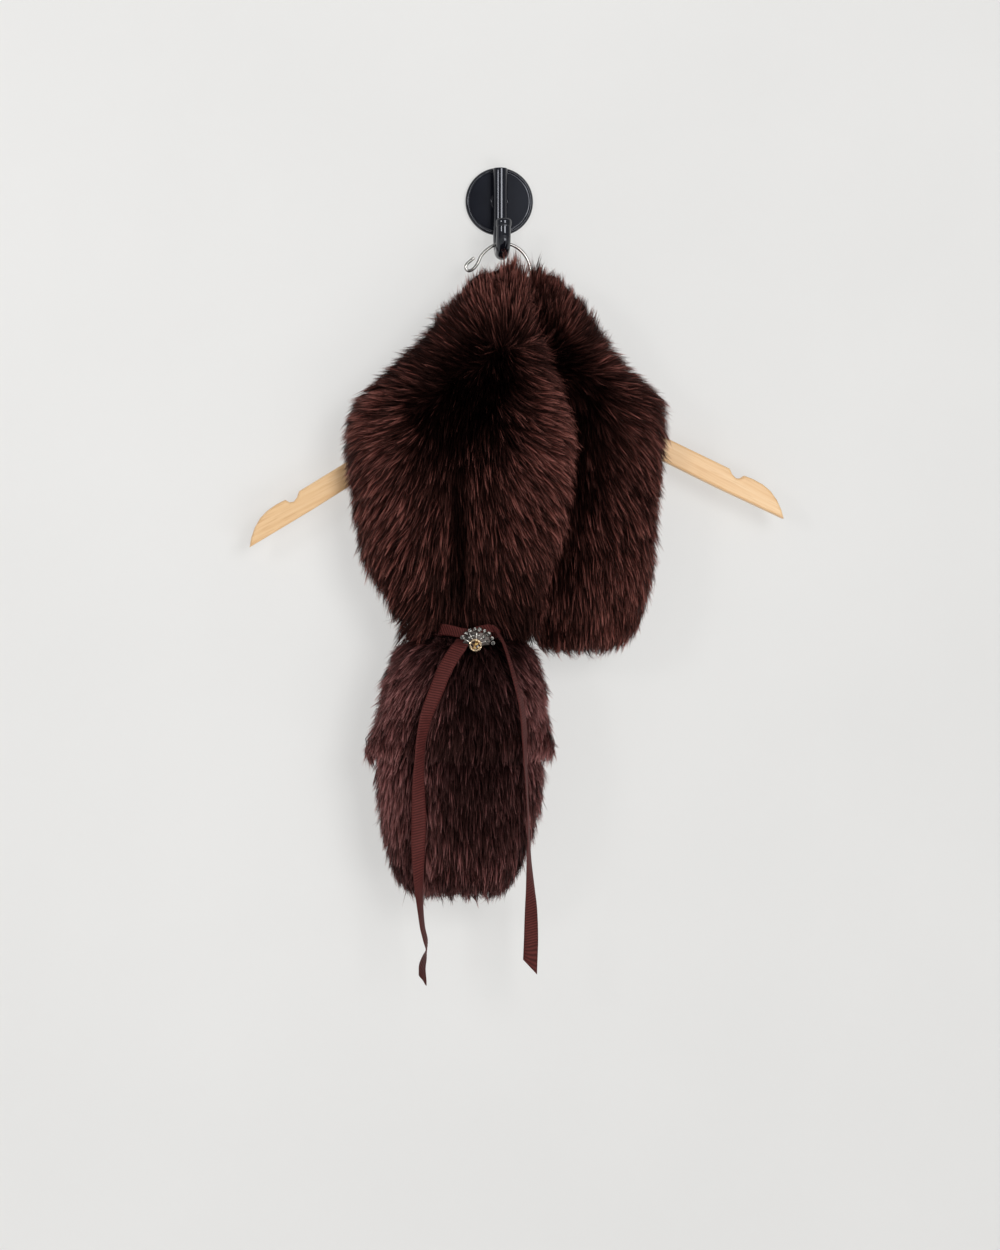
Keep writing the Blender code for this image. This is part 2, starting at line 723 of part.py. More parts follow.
def ends_back(x, z):
    """The wrap's face towards the hanger, on whichever end lies against it there."""
    faces = [f for f in (long_end_face(1, x, z), short_end_face(1, x, z)) if f is not None]
    return max(faces) if faces else None


def neck_face(x, z, edge_distance):
    """The neck band's face towards the hanger: it bends forward over the arms to its shoulder seams."""
    front = ends_back(x, z)
    if front is None:
        return NECK_FACE_Y
    rim = smoothstep(*SHOULDER_RIM, edge_distance)
    shoulder = smoothstep(*SHOULDER_TOP, z) * smoothstep(*SHOULDER_FOOT, z)
    closes = rim * shoulder * (1 - near_wood(x, z))
    return NECK_FACE_Y + (front + 2 * SEAM_GAP - NECK_FACE_Y) * closes


def neck_back(finish):
    """The band behind the hanger, whose upper edge stands up round the hanger's neck."""
    outer, inner = [], []
    slope = 0.75  # an edge's distance square to the shoulder line, for its distance along X
    for row in NECK_BAND:
        outer_row, inner_row = [], []
        for i in range(BAND_COLUMNS):
            across = spread(i, BAND_COLUMNS)
            x = MM * (row.left + (row.right - row.left) * across)
            z = row.z * MM
            from_edge = slope * min(x - row.left * MM, row.right * MM - x)
            inside = neck_face(x, z, from_edge)
            rounded = 0.0 if i in (0, BAND_COLUMNS - 1) else crown(across, BACK_POWER)
            wall = NECK_SEAM + row.wall * MM * rounded
            inner_row.append(Vector((x, inside, z)))
            outer_row.append(Vector((x, min(inside + wall, NECK_REAR_Y), z)))
        outer.append(outer_row)
        inner.append(inner_row)
    return add_object("neck_back", grid_solid("neck_back", outer, inner), finish)


# ---- the ribbon, its knot and the brooch


def tie_band(finish):
    """The ribbon round the waist: an oval ring on the pulled-in stretch, sunk below the fur's tips."""
    waist = TAIL_UPPER[0]
    half = RIBBON_WIDTH / 2 - SEAM_GAP
    ring = []
    count = 21
    for side in (-1, 1):
        columns = range(count) if side < 0 else range(count - 2, 0, -1)
        for i in columns:
            x = MM * (waist.left + (waist.right - waist.left) * spread(i, count))
            face = tail_upper_face(side, x, waist.z * MM)
            ring.append(Vector((x, TIE_SEAM_Y if face is None else face)))
    outwards = -winding(ring)
    near = inset_outline(ring, outwards * BAND_LIFT)
    far = inset_outline(ring, outwards * (BAND_LIFT + RIBBON_THICK))
    levels = [(near, -half), (far, -half), (far, half), (near, half)]
    loops = [[Vector((p.x, p.y, TIE * MM + z)) for p in loop] for loop, z in levels]
    return add_object("tie_band", mesh_of("tie_band", *joined_loops(loops, True)), finish)


def tie_knot(finish):
    """The knot: a soft pad, waisted where the ribbon crosses it."""
    work = bmesh.new()
    bmesh.ops.create_uvsphere(work, u_segments=16, v_segments=9, radius=0.5)
    for vert in work.verts:
        across = vert.co.x * 2
        vert.co.z *= 1 - KNOT_WAIST * (1 - across * across)
        boxy = [math.copysign(abs(2 * c) ** KNOT_SQUARENESS / 2, c) for c in vert.co]
        vert.co = Vector((at + size * c) * MM for c, size, at in zip(boxy, KNOT_SIZE, KNOT_AT))
    mesh = bpy.data.meshes.new("tie_knot")
    work.to_mesh(mesh)
    work.free()
    mesh.shade_smooth()
    return add_object("tie_knot", mesh, finish)


def over_tail(x, z, reach):
    """How far forward something must hang to clear the tail, for a reach to each side."""
    faces = []
    for face in (tail_upper_face, tail_lower_face):
        for dx in (-reach, 0.0, reach):
            for dz in (-RIBBON_CLEAR, 0.0, RIBBON_CLEAR):
                found = face(-1, x + dx, z + dz)
                if found is not None:
                    faces.append(found)
    return min(faces, default=None)


def ribbon_path(rows, start_y):
    """Where a ribbon tail's rows lie: each in front of the pile behind it, in an easy curve."""
    path = []
    y = start_y
    for row in rows:
        turn = math.radians(row.turn)
        face = over_tail(row.x * MM, row.z * MM, RIBBON_WIDTH / 2 * abs(math.cos(turn)))
        if face is not None:
            y = face - RIBBON_WIDTH / 2 * abs(math.sin(turn)) - RIBBON_LIFT
            if row.z > AT_KNOT:
                y = min(y, start_y)
        path.append(Vector((row.x * MM, y, row.z * MM)))
    for _ in range(2):
        eased = []
        for k, place in enumerate(path):
            around = path[max(k - 1, 0)].y + path[min(k + 1, len(path) - 1)].y
            eased.append(Vector((place.x, min(place.y, (around + 2 * place.y) / 4), place.z)))
        path = eased
    return path


def ribbon_tail(name, rows, start_y, cut, finish):
    """A free end of the ribbon, hanging over the tail and then straight down to its slanted cut."""
    path = ribbon_path(rows, start_y)
    loops = []
    for k, (place, row) in enumerate(zip(path, rows)):
        turn = math.radians(row.turn)
        along = (path[min(k + 1, len(path) - 1)] - path[max(k - 1, 0)]).normalized()
        across = Vector((math.cos(turn), math.sin(turn), 0))
        across = (across - along * across.dot(along)).normalized() * RIBBON_WIDTH / 2
        through = along.cross(across).normalized() * RIBBON_THICK / 2
        corners = [(-1, -1), (1, -1), (1, 1), (-1, 1)]
        loop = [place + across * u + through * v for u, v in corners]
        if k == len(path) - 1:
            loop = [p + along * (cut * u + abs(cut)) for p, (u, _) in zip(loop, corners)]
        loops.append(loop)
    return add_object(name, mesh_of(name, *joined_loops(loops)), finish)


def brooch_setting(finish):
    """A fan-shaped plate, scalloped where its small stones sit."""
    steps = 6
    outline = []
    for k in range(SCALLOPS * steps):
        angle = 2 * math.pi * k / (SCALLOPS * steps)
        lobe = 1 + SCALLOP_RISE * math.cos(SCALLOPS * angle)
        high = SETTING_RADIUS[1] * (1.0 if math.sin(angle) > 0 else SETTING_FOOT)
        x = SETTING_AT[0] + SETTING_RADIUS[0] * lobe * math.cos(angle)
        z = SETTING_AT[1] + high * lobe * math.sin(angle)
        outline.append((x * MM, z * MM))
    loops = [[Vector((x, y, z)) for x, z in outline] for y in (SETTING_Y, SETTING_Y - SETTING_DEPTH)]
    return add_object("brooch_setting", mesh_of("brooch_setting", *joined_loops(loops)), finish)


def brooch_stone(finish):
    """The one larger stone: a girdle, a crown and a flat table."""
    profile = [
        (0, 0),
        (STONE_RADIUS, 0),
        (STONE_RADIUS, STONE_GIRDLE),
        (STONE_RADIUS * STONE_TABLE, STONE_DEPTH),
        (0, STONE_DEPTH),
    ]
    centre = (STONE_AT[0] * MM, SETTING_Y - SETTING_DEPTH - SEAM_GAP, STONE_AT[1] * MM)
    mesh = turned("brooch_stone", profile, centre, 20, Vector((0, -1, 0)))
    return add_object("brooch_stone", mesh, finish)


# ---- the whole part


def build():
    for old in list(bpy.data.objects):
        bpy.data.objects.remove(old, do_unlink=True)

    fur = material("brown_fur", (0.050, 0.016, 0.013), 0.85)
    grosgrain = material("brown_ribbon", (0.085, 0.021, 0.018), 0.7)
    beech = material("lacquered_beech", (0.80, 0.56, 0.30), 0.35)
    chrome = material("chrome_wire", (0.75, 0.75, 0.76), 0.15, 1.0)
    black = material("black_lacquer", (0.013, 0.015, 0.021), 0.35)
    silver = material("brooch_metal", (0.62, 0.58, 0.50), 0.25, 1.0)
    amber = material("amber_glass", (0.65, 0.34, 0.09), 0.1)

    wall_plate(black)
    wall_bar(black)
    bar_cap(black)

    hanger = bpy.data.objects.new("hanger", None)
    bpy.context.scene.collection.objects.link(hanger)
    hanger.location = (0, HANGER_Y, HANGER_Z)
    hanger.rotation_euler = (0, HANGER_TILT, 0)
    hanger_wood(beech, hanger)
    hanger_hook(chrome, hanger)

    neck_back(fur)
    for name, rows, face, seam in (
        ("long_end", LONG_END, long_end_face, lifted_seam),
        ("short_end", SHORT_END, short_end_face, flat_seam),
        ("tail_upper", TAIL_UPPER, tail_upper_face, tail_seam),
        ("tail_lower", TAIL_LOWER, tail_lower_face, tail_seam),
    ):
        pelt(f"{name}_front", rows, face, seam, -1, fur)
        pelt(f"{name}_back", rows, face, seam, 1, fur)

    tie_band(grosgrain)
    tie_knot(grosgrain)
    ribbon_tail("ribbon_left", RIBBON_LEFT, LEFT_START_Y, LEFT_CUT, grosgrain)
    ribbon_tail("ribbon_right", RIBBON_RIGHT, RIGHT_START_Y, RIGHT_CUT, grosgrain)
    brooch_setting(silver)
    brooch_stone(amber)


build()
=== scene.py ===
"""Looks for the fur collar wrap on its wooden hanger and black wall hook.

Each pelt is a cloth backing with its own pile of fur strands. The ribbon, the knot, the brooch, the
wire hook and the wall hook's parts are built anew, and the wooden hanger keeps its solid under a new
finish. Lengths are in millimetres, and a mesh is scaled to metres once, when it is made. The stage, the
materials and a sheet's flat size are in metres.
"""

import math
from collections import namedtuple

import bpy
import numpy as np
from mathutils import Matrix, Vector, kdtree


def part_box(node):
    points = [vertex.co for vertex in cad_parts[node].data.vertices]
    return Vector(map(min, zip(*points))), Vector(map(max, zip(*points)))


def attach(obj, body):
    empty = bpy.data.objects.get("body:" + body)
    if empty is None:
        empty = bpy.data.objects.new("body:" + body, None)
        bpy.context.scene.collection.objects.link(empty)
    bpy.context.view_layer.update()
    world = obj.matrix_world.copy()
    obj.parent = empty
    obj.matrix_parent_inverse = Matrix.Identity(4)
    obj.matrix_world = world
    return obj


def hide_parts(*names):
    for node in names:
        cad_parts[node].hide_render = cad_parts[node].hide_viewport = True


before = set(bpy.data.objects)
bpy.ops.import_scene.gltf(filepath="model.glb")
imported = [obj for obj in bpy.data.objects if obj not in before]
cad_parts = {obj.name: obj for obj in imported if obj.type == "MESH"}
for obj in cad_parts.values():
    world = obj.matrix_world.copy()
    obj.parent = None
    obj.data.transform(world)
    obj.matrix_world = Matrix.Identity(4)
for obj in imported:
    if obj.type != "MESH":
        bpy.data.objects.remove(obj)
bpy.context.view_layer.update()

MM = 0.001
BODY = "root"
SEED = 417
TINY = 1e-9
UPWARD = np.array([0.0, 0.0, 1.0])
SIDEWAYS = (0.31, 0.87, 0.38)  # a way that no rod starts in

# ---- the camera, the wall and the lights (metres)

CAMERA_TARGET = Vector((-0.0015, -0.027, -0.3565))
CAMERA_TURN = math.radians(5)  # the camera looks a little to the right of straight at the wall
CAMERA_DISTANCE = 2.9
CAMERA_REACH = 50  # nothing further away is drawn
LENS_MM = 100
SENSOR_MM = 36
WALL_SIZE = 9.0
WALL_GLOW = 0.62  # painted light: the share of the wall's brightness that glows, so no shadow takes it away
WALL_FALL = (-0.084, 0.069)  # painted light: how much its brightness changes per metre to the right and up
WALL_CHANGE = 0.09  # the most that it changes, either way
WALL_LEVEL = 0.999  # its brightness where it hasn't changed
WALL_PAINT = ((0.80, 0.795, 0.78), (0.83, 0.825, 0.81))  # of its darker and paler clouds
FLOOR_Z = -1.12
FLOOR_SIZE = 12.0
FLOOR_PAINT = ((0.74, 0.735, 0.725), (0.78, 0.775, 0.765))
PAINT_STOPS = (0.3, 0.7)
WORLD_COLOUR = (0.96, 0.97, 1.0)
WORLD_STRENGTH = 0.26
LIT = (0, -0.05, -0.35)  # what most lights point at
# each light: its place, what it points at, its width and height, and its power in watts
LIGHTS = {
    "key": ((1.6, -5.0, 0.75), LIT, (2.1, 2.2), 121),
    "fill": ((-2.4, -3.0, 0.1), LIT, (2.2, 2.6), 3.5),
    "strip": ((-2.0, -2.45, 0.42), LIT, (0.52, 0.62), 13),
    "low": ((0.7, -1.5, -0.95), (0.1, 0, -0.25), (1.0, 0.3), 5),
    "behind": ((-0.6, 2.4, 0.9), LIT, (1.6, 1.6), 16),
}

# ---- the fur

STRAND_UV = "OFBake"
Strand = namedtuple("Strand", "length half_width")
FRONT_STRAND = Strand(27.0, 0.28)
BACK_STRAND = Strand(25.0, 0.55)
INNER_STRAND = Strand(14.0, 0.55)
LENGTH_SPREAD = 0.14
SPREAD_LIMIT = 2
WIDTH_RANGE = (0.7, 1.3)
FACING_SPREAD = 0.55  # how far a strand's flat side turns from the pelt's outer face
ROOT_SHARE = 0.5  # of a strand's length, from its root to its bend
ROOT_LEAN = 0.5  # the root's lean over the tip's
TUFT = 5  # strands to a tuft
LOCK = 50  # strands to a lock of tufts
# how locks, tufts and single strands differ: in heading (degrees), lean, tone and height
HEADING_SPREAD = (4, 2.5, 3)
LEAN_SPREAD = (0.04, 0.04, 0.03)
TONE_SPREAD = (0.15, 0.35, 0.5)
LOCK_RISE = 0.6
TUFT_RISE = 1.0
STRAND_RISE = 0.8
MESSY_RISE = 0.7  # how much more the tufts of a messy pile differ in height
LEAN_RANGE = (0.12, 0.88)
TIP_LEVEL = -3.0  # the mean tip's height over the pelt's outer face, which the longest tufts reach
TIP_RANGE = (-8.0, 4.0)
COMB_POWER = -1.6  # how fast a guide's say falls with the square of its distance
COMB_SOFTNESS = (90.0, 260.0)  # added to that square, for a strand's direction and for its tone
FALL_BELOW = 0.35  # where less of the flow than this lies along the pelt, its strands hang down
STREAK_CELLS = ((0.62, 1.0), (1.5, 0.35))  # width and weight of the fine and the coarse streaks
STREAK_RUN = (-3.8, 2.2, 0.5)  # along the flow: a streak's start, its end and the step
STREAK_MARGIN = 25
STREAK_RISE = 1.5
STREAK_PROBE = 0.5  # how far to each side a strand looks for the stronger streak
STREAK_DRAW = 0.35  # how far strands draw together sideways into their streak
STREAK_TONE = 1.35
TAIL_STREAK_TONE = 0.8
SHORT_STREAK_TONE = 1.15
STREAK_EVENING = 0.58  # keeps the mean tone when the streaks' contrast grows
STRAY_SHARE = 0.02
STRAY_LIFT = 0.25  # how much less a stray strand leans
STRAY_PULL = 0.1  # how little its tuft draws it in
TUFT_PULL = (0.25, 0.55)  # how far tips draw together into their tuft
RIM_PULL = 0.12  # how much further they do at the pelt's rim
PULL_LIMIT = 0.85
BEND_PULL = 0.3
LOCK_PULL = 0.1
PULL_RETURN = 0.8  # how much of a tip's reach along its own way is given back after that
RAGGED_RANGE = (0.05, 1.15)
RAGGED_POWER = 1.3
REACH_RANGE = (0.8, 1.05)
RIM_TURN = (0.45, 0.95)  # how far the pelt turns from the front where its rim begins and is full
EDGE_LIFT = 0.3  # how much less the pile leans where the pelt turns away from the front
EDGE_SPIKE = 2.5  # how much further the tufts reach there
SPIKE_LIMIT = 2.8
EDGE_THIN = 0.35  # how much finer the strands are there
EDGE_PAINTED_LIGHT = 0.2  # painted light: how much paler the pile is there, standing in for the light on its thin rim
TAIL_EDGE_PAINTED_LIGHT = 0.22
TONE_POWER = 1.8
TONE_DROP = 0.35
TONE_RANGE = (0.012, 0.985)
CREASE_SHADE = 0.75  # painted shade: how much darker the pile is in a parting
PARTING_CORE = 0.25  # the share of a parting's half width, and of its length, where it deepens
BACKING_DEPTH = 9.0
NECK_DEPTH = 6.0
BACKING_FLATNESS = 0.72  # the backing's height over its seam for the pile's
WALL_GAP = 0.5
KITE = np.array([0, 2, 1, 1, 2, 3])  # a strand's two triangles: root, left, right and tip are 0 to 3
KITE_U = np.array([0, -0.01, 0.01, 0])[KITE]
KITE_V = np.array([0.02, 0.5, 0.5, 0.98])[KITE]

# how the pile is combed: x, z, the angle of its flow (0 to the right, 90 up), and, in hundredths, how
# far it leans over and how pale its strands are. That paleness is partly the fur's own colour and partly
# painted light and shade: darker where one looks straight into the pile and beside the long end's
# edge, paler where rims and tufts catch the light
LONG_COMB = [
    (1, -86, 88, 62, 66), (-15, -75, 98, 60, 120), (-32, -89, 120, 64, 45), (-49, -108, 138, 68, 16),
    (-72, -130, 148, 72, 14), (-92, -149, 152, 74, 23), (-111, -169, 162, 74, 60),
    (-125, -187, 180, 74, 70), (-131, -209, 204, 74, 70), (-129, -236, 224, 76, 66),
    (-123, -272, 236, 78, 65), (-109, -316, 246, 78, 52), (-93, -359, 242, 80, 40),
    (-84, -348, 238, 78, 36), (28, -82, 58, 62, 30), (50, -103, 30, 66, 18), (30, -139, -8, 70, 30),
    # painted shade: the upright rows with tones under ten darken the middle, where one looks straight
    # into the pile
    (44, -171, -4, 74, 60), (46, -204, -14, 76, 74), (11, -148, -58, 55, 16), (-8, -134, -85, 25, 7),
    (-32, -128, 170, 35, 9), (-56, -142, 165, 45, 8), (-49, -164, -100, 22, 2), (-24, -190, -90, 28, 4),
    (-74, -190, -120, 36, 5), (-92, -173, 190, 50, 16), (-53, -206, -98, 45, 8), (-5, -165, -80, 30, 5),
    (9, -198, -50, 60, 16), (25, -238, -46, 78, 52), (-8, -255, -68, 78, 40), (17, -279, -60, 80, 42),
    (43, -287, -52, 80, 54), (-24, -255, -88, 76, 34), (-24, -312, -86, 80, 28),
    (-44, -336, -90, 80, 11), (-64, -304, -100, 78, 36), (-81, -255, -112, 74, 31),
    (-103, -287, -124, 78, 46), (-3, -344, -70, 80, 24), (43, -328, -58, 80, 33),
    (31, -352, -80, 82, 24), (54, -229, -30, 78, 73), (-14, -112, 100, 58, 6), (-36, -117, 136, 60, 6),
    (10, -114, 60, 58, 10), (-66, -156, 152, 60, 9), (-105, -200, 200, 66, 46),
    (-60, -225, -104, 60, 16), (-20, -222, -84, 60, 13), (14, -176, -36, 60, 20),
    (10, -70, 84, 60, 110),
]
SHORT_COMB = [
    (58, -92, 62, 62, 34), (78, -108, 50, 66, 26), (102, -125, 34, 68, 36), (119, -152, 4, 70, 38),
    (131, -180, -22, 72, 45), (134, -207, -44, 74, 47), (133, -244, -56, 76, 55),
    (124, -290, -68, 78, 55), (116, -336, -76, 80, 50), (110, -369, -84, 82, 55),
    (69, -130, 10, 50, 12), (81, -171, -36, 62, 12), (87, -229, -62, 74, 19), (77, -287, -72, 80, 36),
    (73, -336, -82, 82, 45), (57, -369, -92, 82, 40), (102, -253, -62, 78, 34), (44, -196, -90, 70, 5),
    # painted shadow: the three dark rows at x 56 to 62 lie in the shadow beside the long end's right
    # edge
    (62, -200, -80, 70, 8), (62, -260, -80, 76, 8), (56, -320, -86, 80, 15), (28, -303, -90, 80, 10),
    (86, -365, -84, 84, 50), (24, -72, 84, 60, 64), (40, -79, 70, 62, 52),
]
TAIL_UPPER_COMB = [
    (-78, -375, -146, 76, 25), (-50, -374, -104, 60, 38), (-94, -395, -138, 78, 85),
    (-104, -422, -122, 80, 128), (-110, -451, -106, 80, 135), (-68, -392, -122, 80, 28),
    (-72, -426, -108, 80, 60), (-72, -458, -98, 80, 50), (-41, -392, -96, 72, 20),
    (-40, -426, -92, 74, 10), (-40, -463, -90, 78, 15), (-11, -388, -76, 76, 17),
    (6, -392, -58, 78, 22), (21, -410, -60, 80, 80), (32, -439, -76, 80, 120), (36, -468, -96, 82, 115),
    (-3, -434, -80, 78, 12), (-7, -463, -88, 78, 18),
]
TAIL_LOWER_COMB = [
    (-109, -479, -100, 80, 130), (-106, -508, -94, 80, 120), (-101, -549, -98, 80, 75),
    (-86, -569, -96, 84, 60), (-72, -491, -94, 78, 50), (-68, -532, -93, 82, 45),
    (-40, -491, -90, 78, 18), (-40, -532, -90, 82, 20), (-39, -565, -90, 86, 44),
    (-7, -491, -88, 78, 18), (-7, -532, -86, 82, 20), (32, -484, -84, 82, 80), (26, -517, -84, 82, 70),
    (18, -554, -82, 82, 55), (5, -570, -84, 84, 50),
]
LONG_BACK_COMB = [
    (-60, -80, 110, 70, 50), (-100, -150, 160, 75, 50), (-125, -210, 215, 78, 60),
    (-40, -150, -110, 70, 40), (-100, -280, 240, 80, 50), (-60, -300, -95, 80, 45),
    (0, -250, -80, 80, 40), (40, -300, -60, 80, 45), (50, -150, -20, 75, 45),
]
SHORT_BACK_COMB = [
    (60, -90, 70, 70, 50), (100, -125, 35, 72, 50), (130, -190, -30, 78, 50), (128, -260, -60, 80, 50),
    (112, -350, -80, 84, 50), (60, -200, -95, 78, 40), (50, -330, -92, 82, 45),
    (10, -250, -100, 80, 40),
]
TAIL_BACK_COMB = [
    (-90, -385, -135, 82, 55), (-104, -430, -112, 84, 60), (-105, -520, -96, 84, 55),
    (-36, -400, -90, 80, 50), (-36, -520, -90, 84, 45), (15, -395, -60, 82, 50),
    (34, -450, -80, 84, 60), (25, -540, -84, 84, 50),
]
NECK_BACK_COMB = [
    (0, -75, 90, 60, 60), (-60, -110, 140, 68, 50), (-112, -190, 205, 76, 50), (65, -110, 40, 68, 50),
    (118, -190, -25, 76, 50), (0, -130, -90, 70, 40), (-60, -180, -110, 78, 40),
    (65, -180, -70, 78, 40), (-110, -235, -115, 82, 50), (118, -235, -65, 82, 50),
]

# where the pile parts and shows its depth: the line's two ends (x, z), its half width and its depth
Parting = namedtuple("Parting", "start end half_width depth")
LONG_PARTINGS = [Parting((-41, -215), (-41, -338), 9.0, 8.0)]

# where the pile grows past the pelt's outer face or stays short of it: the height where that begins
# and is full, its left and right ends, how much further tufts reach along the flow, and their lift
Reach = namedtuple("Reach", "start end left right reach lift")
LEFT_SHOULDER = Reach(-190, -150, -200, -60, 0, -1.5)
CROWN_LEFT = Reach(-98, -70, -60, -9, 2, -5.5)
CROWN_TUFTS = Reach(-92, -66, -1, 20, 16, -1)
CROWN_LEFT_TUFT = Reach(-92, -70, -22, -14, 7, 0)
OVER_TIE_LEFT = Reach(-316, -358, -84, -57, 24, 4.5)
OVER_TIE = Reach(-330, -360, -57, -8, 18, 3)
OVER_TIE_RIGHT = Reach(-316, -358, -6, 200, 26, 4)
LEFT_OF_TIE = Reach(-305, -350, -200, -84, 9, -3.5)
OVER_TIE_BEHIND = Reach(-316, -358, -74, 200, 24, 4)
BEHIND_LEFT_OF_TIE = Reach(-305, -350, -200, -84, 2, -5)
UNDER_TIE = Reach(-390, -372, -72, 8, 4, 5)
OVER_CROSS_SEAM = Reach(-436, -466, -200, 200, 6, 1)
RIGHT_OF_SEAM = Reach(-400, -450, 26, 200, 0, -3)
OVER_TAIL_FOOT = Reach(-545, -580, -200, 200, 9, -2.5)
SHORT_TOP_TUFTS = Reach(-86, -60, 14, 33, 9, 1.5)
SHORT_TOP_RIGHT = Reach(-100, -70, 32, 80, 0, -4)
OVER_SHORT_FOOT = Reach(-350, -380, -200, 200, 3.5, 0)
LONG_REACHES = [
    OVER_TIE_LEFT, OVER_TIE, OVER_TIE_RIGHT, LEFT_OF_TIE, LEFT_SHOULDER, CROWN_LEFT, CROWN_TUFTS,
    CROWN_LEFT_TUFT,
]
LONG_BACK_REACHES = [OVER_TIE_BEHIND, BEHIND_LEFT_OF_TIE, LEFT_SHOULDER, CROWN_LEFT]
TAIL_REACHES = [OVER_CROSS_SEAM, RIGHT_OF_SEAM, UNDER_TIE]

WELD = 0.02  # vertices that round to the same place by this are one
LEAST_AREA = 1e-6
SEAM_REACH = 0.6  # edges of two pelts nearer than this meet in a seam
NECK_SEAM_REACH = 3.0
LEAST_TILT = 0.02  # how far a face looks to one side before it counts as that side's
RIM_TILT = -0.1  # the same where a pelt takes the rim that looks to neither side
# the y of the plane in which a front and a back pelt meet
END_SEAM = -51
TAIL_SEAM = -60
NECK_SEAM = -21

# ---- the brooch: a fan of small stones over one larger stone, on a scalloped plate

BROOCH_BACK = -82.3
BROOCH_ROOM = ((0, -25.0, 16.0), (2, -368.0, 12.0))  # what the pile leaves bare: axis, middle, half size
BROOCH_EDGE = (0.9, 1.3)
PLATE_AT = (-25.0, -369.5)
PLATE_RADIUS = (11.8, 8.7, 4.6)  # half width, height above and height below its middle
PLATE_SCALLOPS = 9
PLATE_LOBE = 0.09
LOBE_STEPS = 10
PLATE_DEPTH = 0.9
PLATE_EDGE = ((0.5, 0.0), (0.0, 0.2), (0.0, 0.65), (0.35, PLATE_DEPTH))  # inset and height
AMBER_AT = (-26.5, -373.0)
# the larger stone's cut: rings of radius and height, each turned half a side from the last
AMBER_CUTS = [(3.8, 1.2), (4.05, 1.7), (3.7, 2.3), (2.5, 3.2), (0.9, 3.7)]
AMBER_SIDES = 9
# the stones' colours with painted reflections: from a dark spot through the glass's own colour to a
# bright glint
AMBER_GLINT_STOPS = [(0.44, (0.012, 0.004, 0.001)), (0.55, (0.34, 0.15, 0.02)), (0.68, (0.90, 0.62, 0.22))]
CLEAR_GLINT_STOPS = [(0.46, (0.012, 0.012, 0.012)), (0.56, (0.28, 0.27, 0.25)), (0.66, (0.90, 0.87, 0.81))]
SPOKES = [152, 118, 84, 50, 22]  # degrees round the larger stone
# the small stones: x, z and radius
SMALL_STONES = [
    (-37.1, -366.6, 1.75), (-34.3, -363.4, 1.35), (-31.1, -361, 1.55), (-27.2, -359.9, 1.35),
    (-23.2, -360.2, 1.6), (-19.2, -361.4, 1.35), (-15.7, -363.8, 1.65), (-13, -367.3, 1.35),
    (-12.2, -371.4, 1.5), (-32.2, -367, 1.1), (-28.3, -364.9, 1.1), (-23.9, -364.8, 1.1),
    (-19.7, -366.6, 1.1), (-17.2, -370.1, 1.1),
]
STONE_SINK = 0.3
# profiles of radius, as a share of the stone's or the claw's, and height: cup, claw and stone
CUP_PROFILE = [(0.55, 0), (0.85, 0.5), (1.08, 1.3), (1.16, 1.75), (1.05, 1.95), (0.9, 1.7)]
CLAW_PROFILE = [(0.6, 0.9), (1, 1.5), (1, 2.05), (0.6, 2.3)]
STONE_PROFILE = [(0.9, 1.6), (0.97, 1.85), (0.78, 2.25), (0.52, 2.5)]
CLAW_CIRCLE = 1.02  # of the stone's radius
CLAW_RADIUS = (0.2, 0.06)  # a share of the stone's radius and a length
CLAW_TURN = 17  # degrees from one stone's claws to the next one's
STONE_TURN = 0.3  # radians, the same for the stones
SPOKE_ENDS = ((5.0, 0.3), (10.6, 0.5))  # distance from the larger stone's middle, and height
SPOKE_SHARES = (0, 0.08, 0.5, 0.92, 1)
SPOKE_RADII = (0.2, 0.42, 0.62, 0.36, 0.15)
BEZEL_PROFILE = [
    (3.2, 0), (4.6, 0.1), (5, 0.8), (5.05, 1.7), (4.8, 2.05), (4.5, 1.9), (4.4, 1.2),
]
BEZEL_WIRE = (4.95, 0.32, 0.75)  # its ring's radius, thickness and height

# ---- the wall hook and the wire hook

# sections of radius and height: the rim with its groove, the flat face and the boss behind the bar
RIM_PROFILE = [
    (25, 0), (28, 0), (28.4, 0.15), (28.5, 0.5), (28.5, 3.3), (28.4, 3.6), (27.3, 4.75), (26.9, 4.95),
    (26.5, 5), (26.15, 4.85), (25.95, 4.6), (25.1, 4.9), (24.9, 4.9),
]
FACE_PROFILE = [(24.95, 0.3), (24.95, 4.85), (24.8, 4.95), (24.4, 5)]
BOSS_PROFILE = [(7.7, 4.9), (7.6, 5.1), (6.9, 5.4), (6.6, 5.45)]
LACQUER = ((0.0045, 0.005, 0.008), (0.007, 0.008, 0.012))
BAR_RADIUS = 6.0
BAR_Y = -12.1
BAR_TOP = 27.0
BEND_RADIUS = 16.0
BEND_Y = BAR_Y - BEND_RADIUS
BEND_Z = -29.8
CAP_RADIUS = 6.6
CAP_TOP = -18.9
CAP_FOOT = -26.0
CAP_FLARE = [  # height over its foot and radius
    (0.2, BAR_RADIUS + 0.05), (0.5, BAR_RADIUS + 0.25), (2.4, CAP_RADIUS - 0.1), (3.2, CAP_RADIUS),
]
CAP_Y = 2 * BEND_Y - BAR_Y
BAR_ROUND = 0.8  # the length of its rounded edge
BAR_STEPS = 8
BEND_STEPS = 28
BAR_OVERLAP = 0.6  # how far it reaches into the cap
CAP_ROUND = 2.4
WIRE_RADIUS = 1.35
WIRE_STEP = 1.1
WIRE_END = (-1.2, 0.8)  # where the rounding of its end begins and is done
HANGER_Z = -38.0
HANGER_TILT = math.radians(-3.2)  # about y: the right arm is the higher one
GRAIN_SLOPE = math.radians(-27)
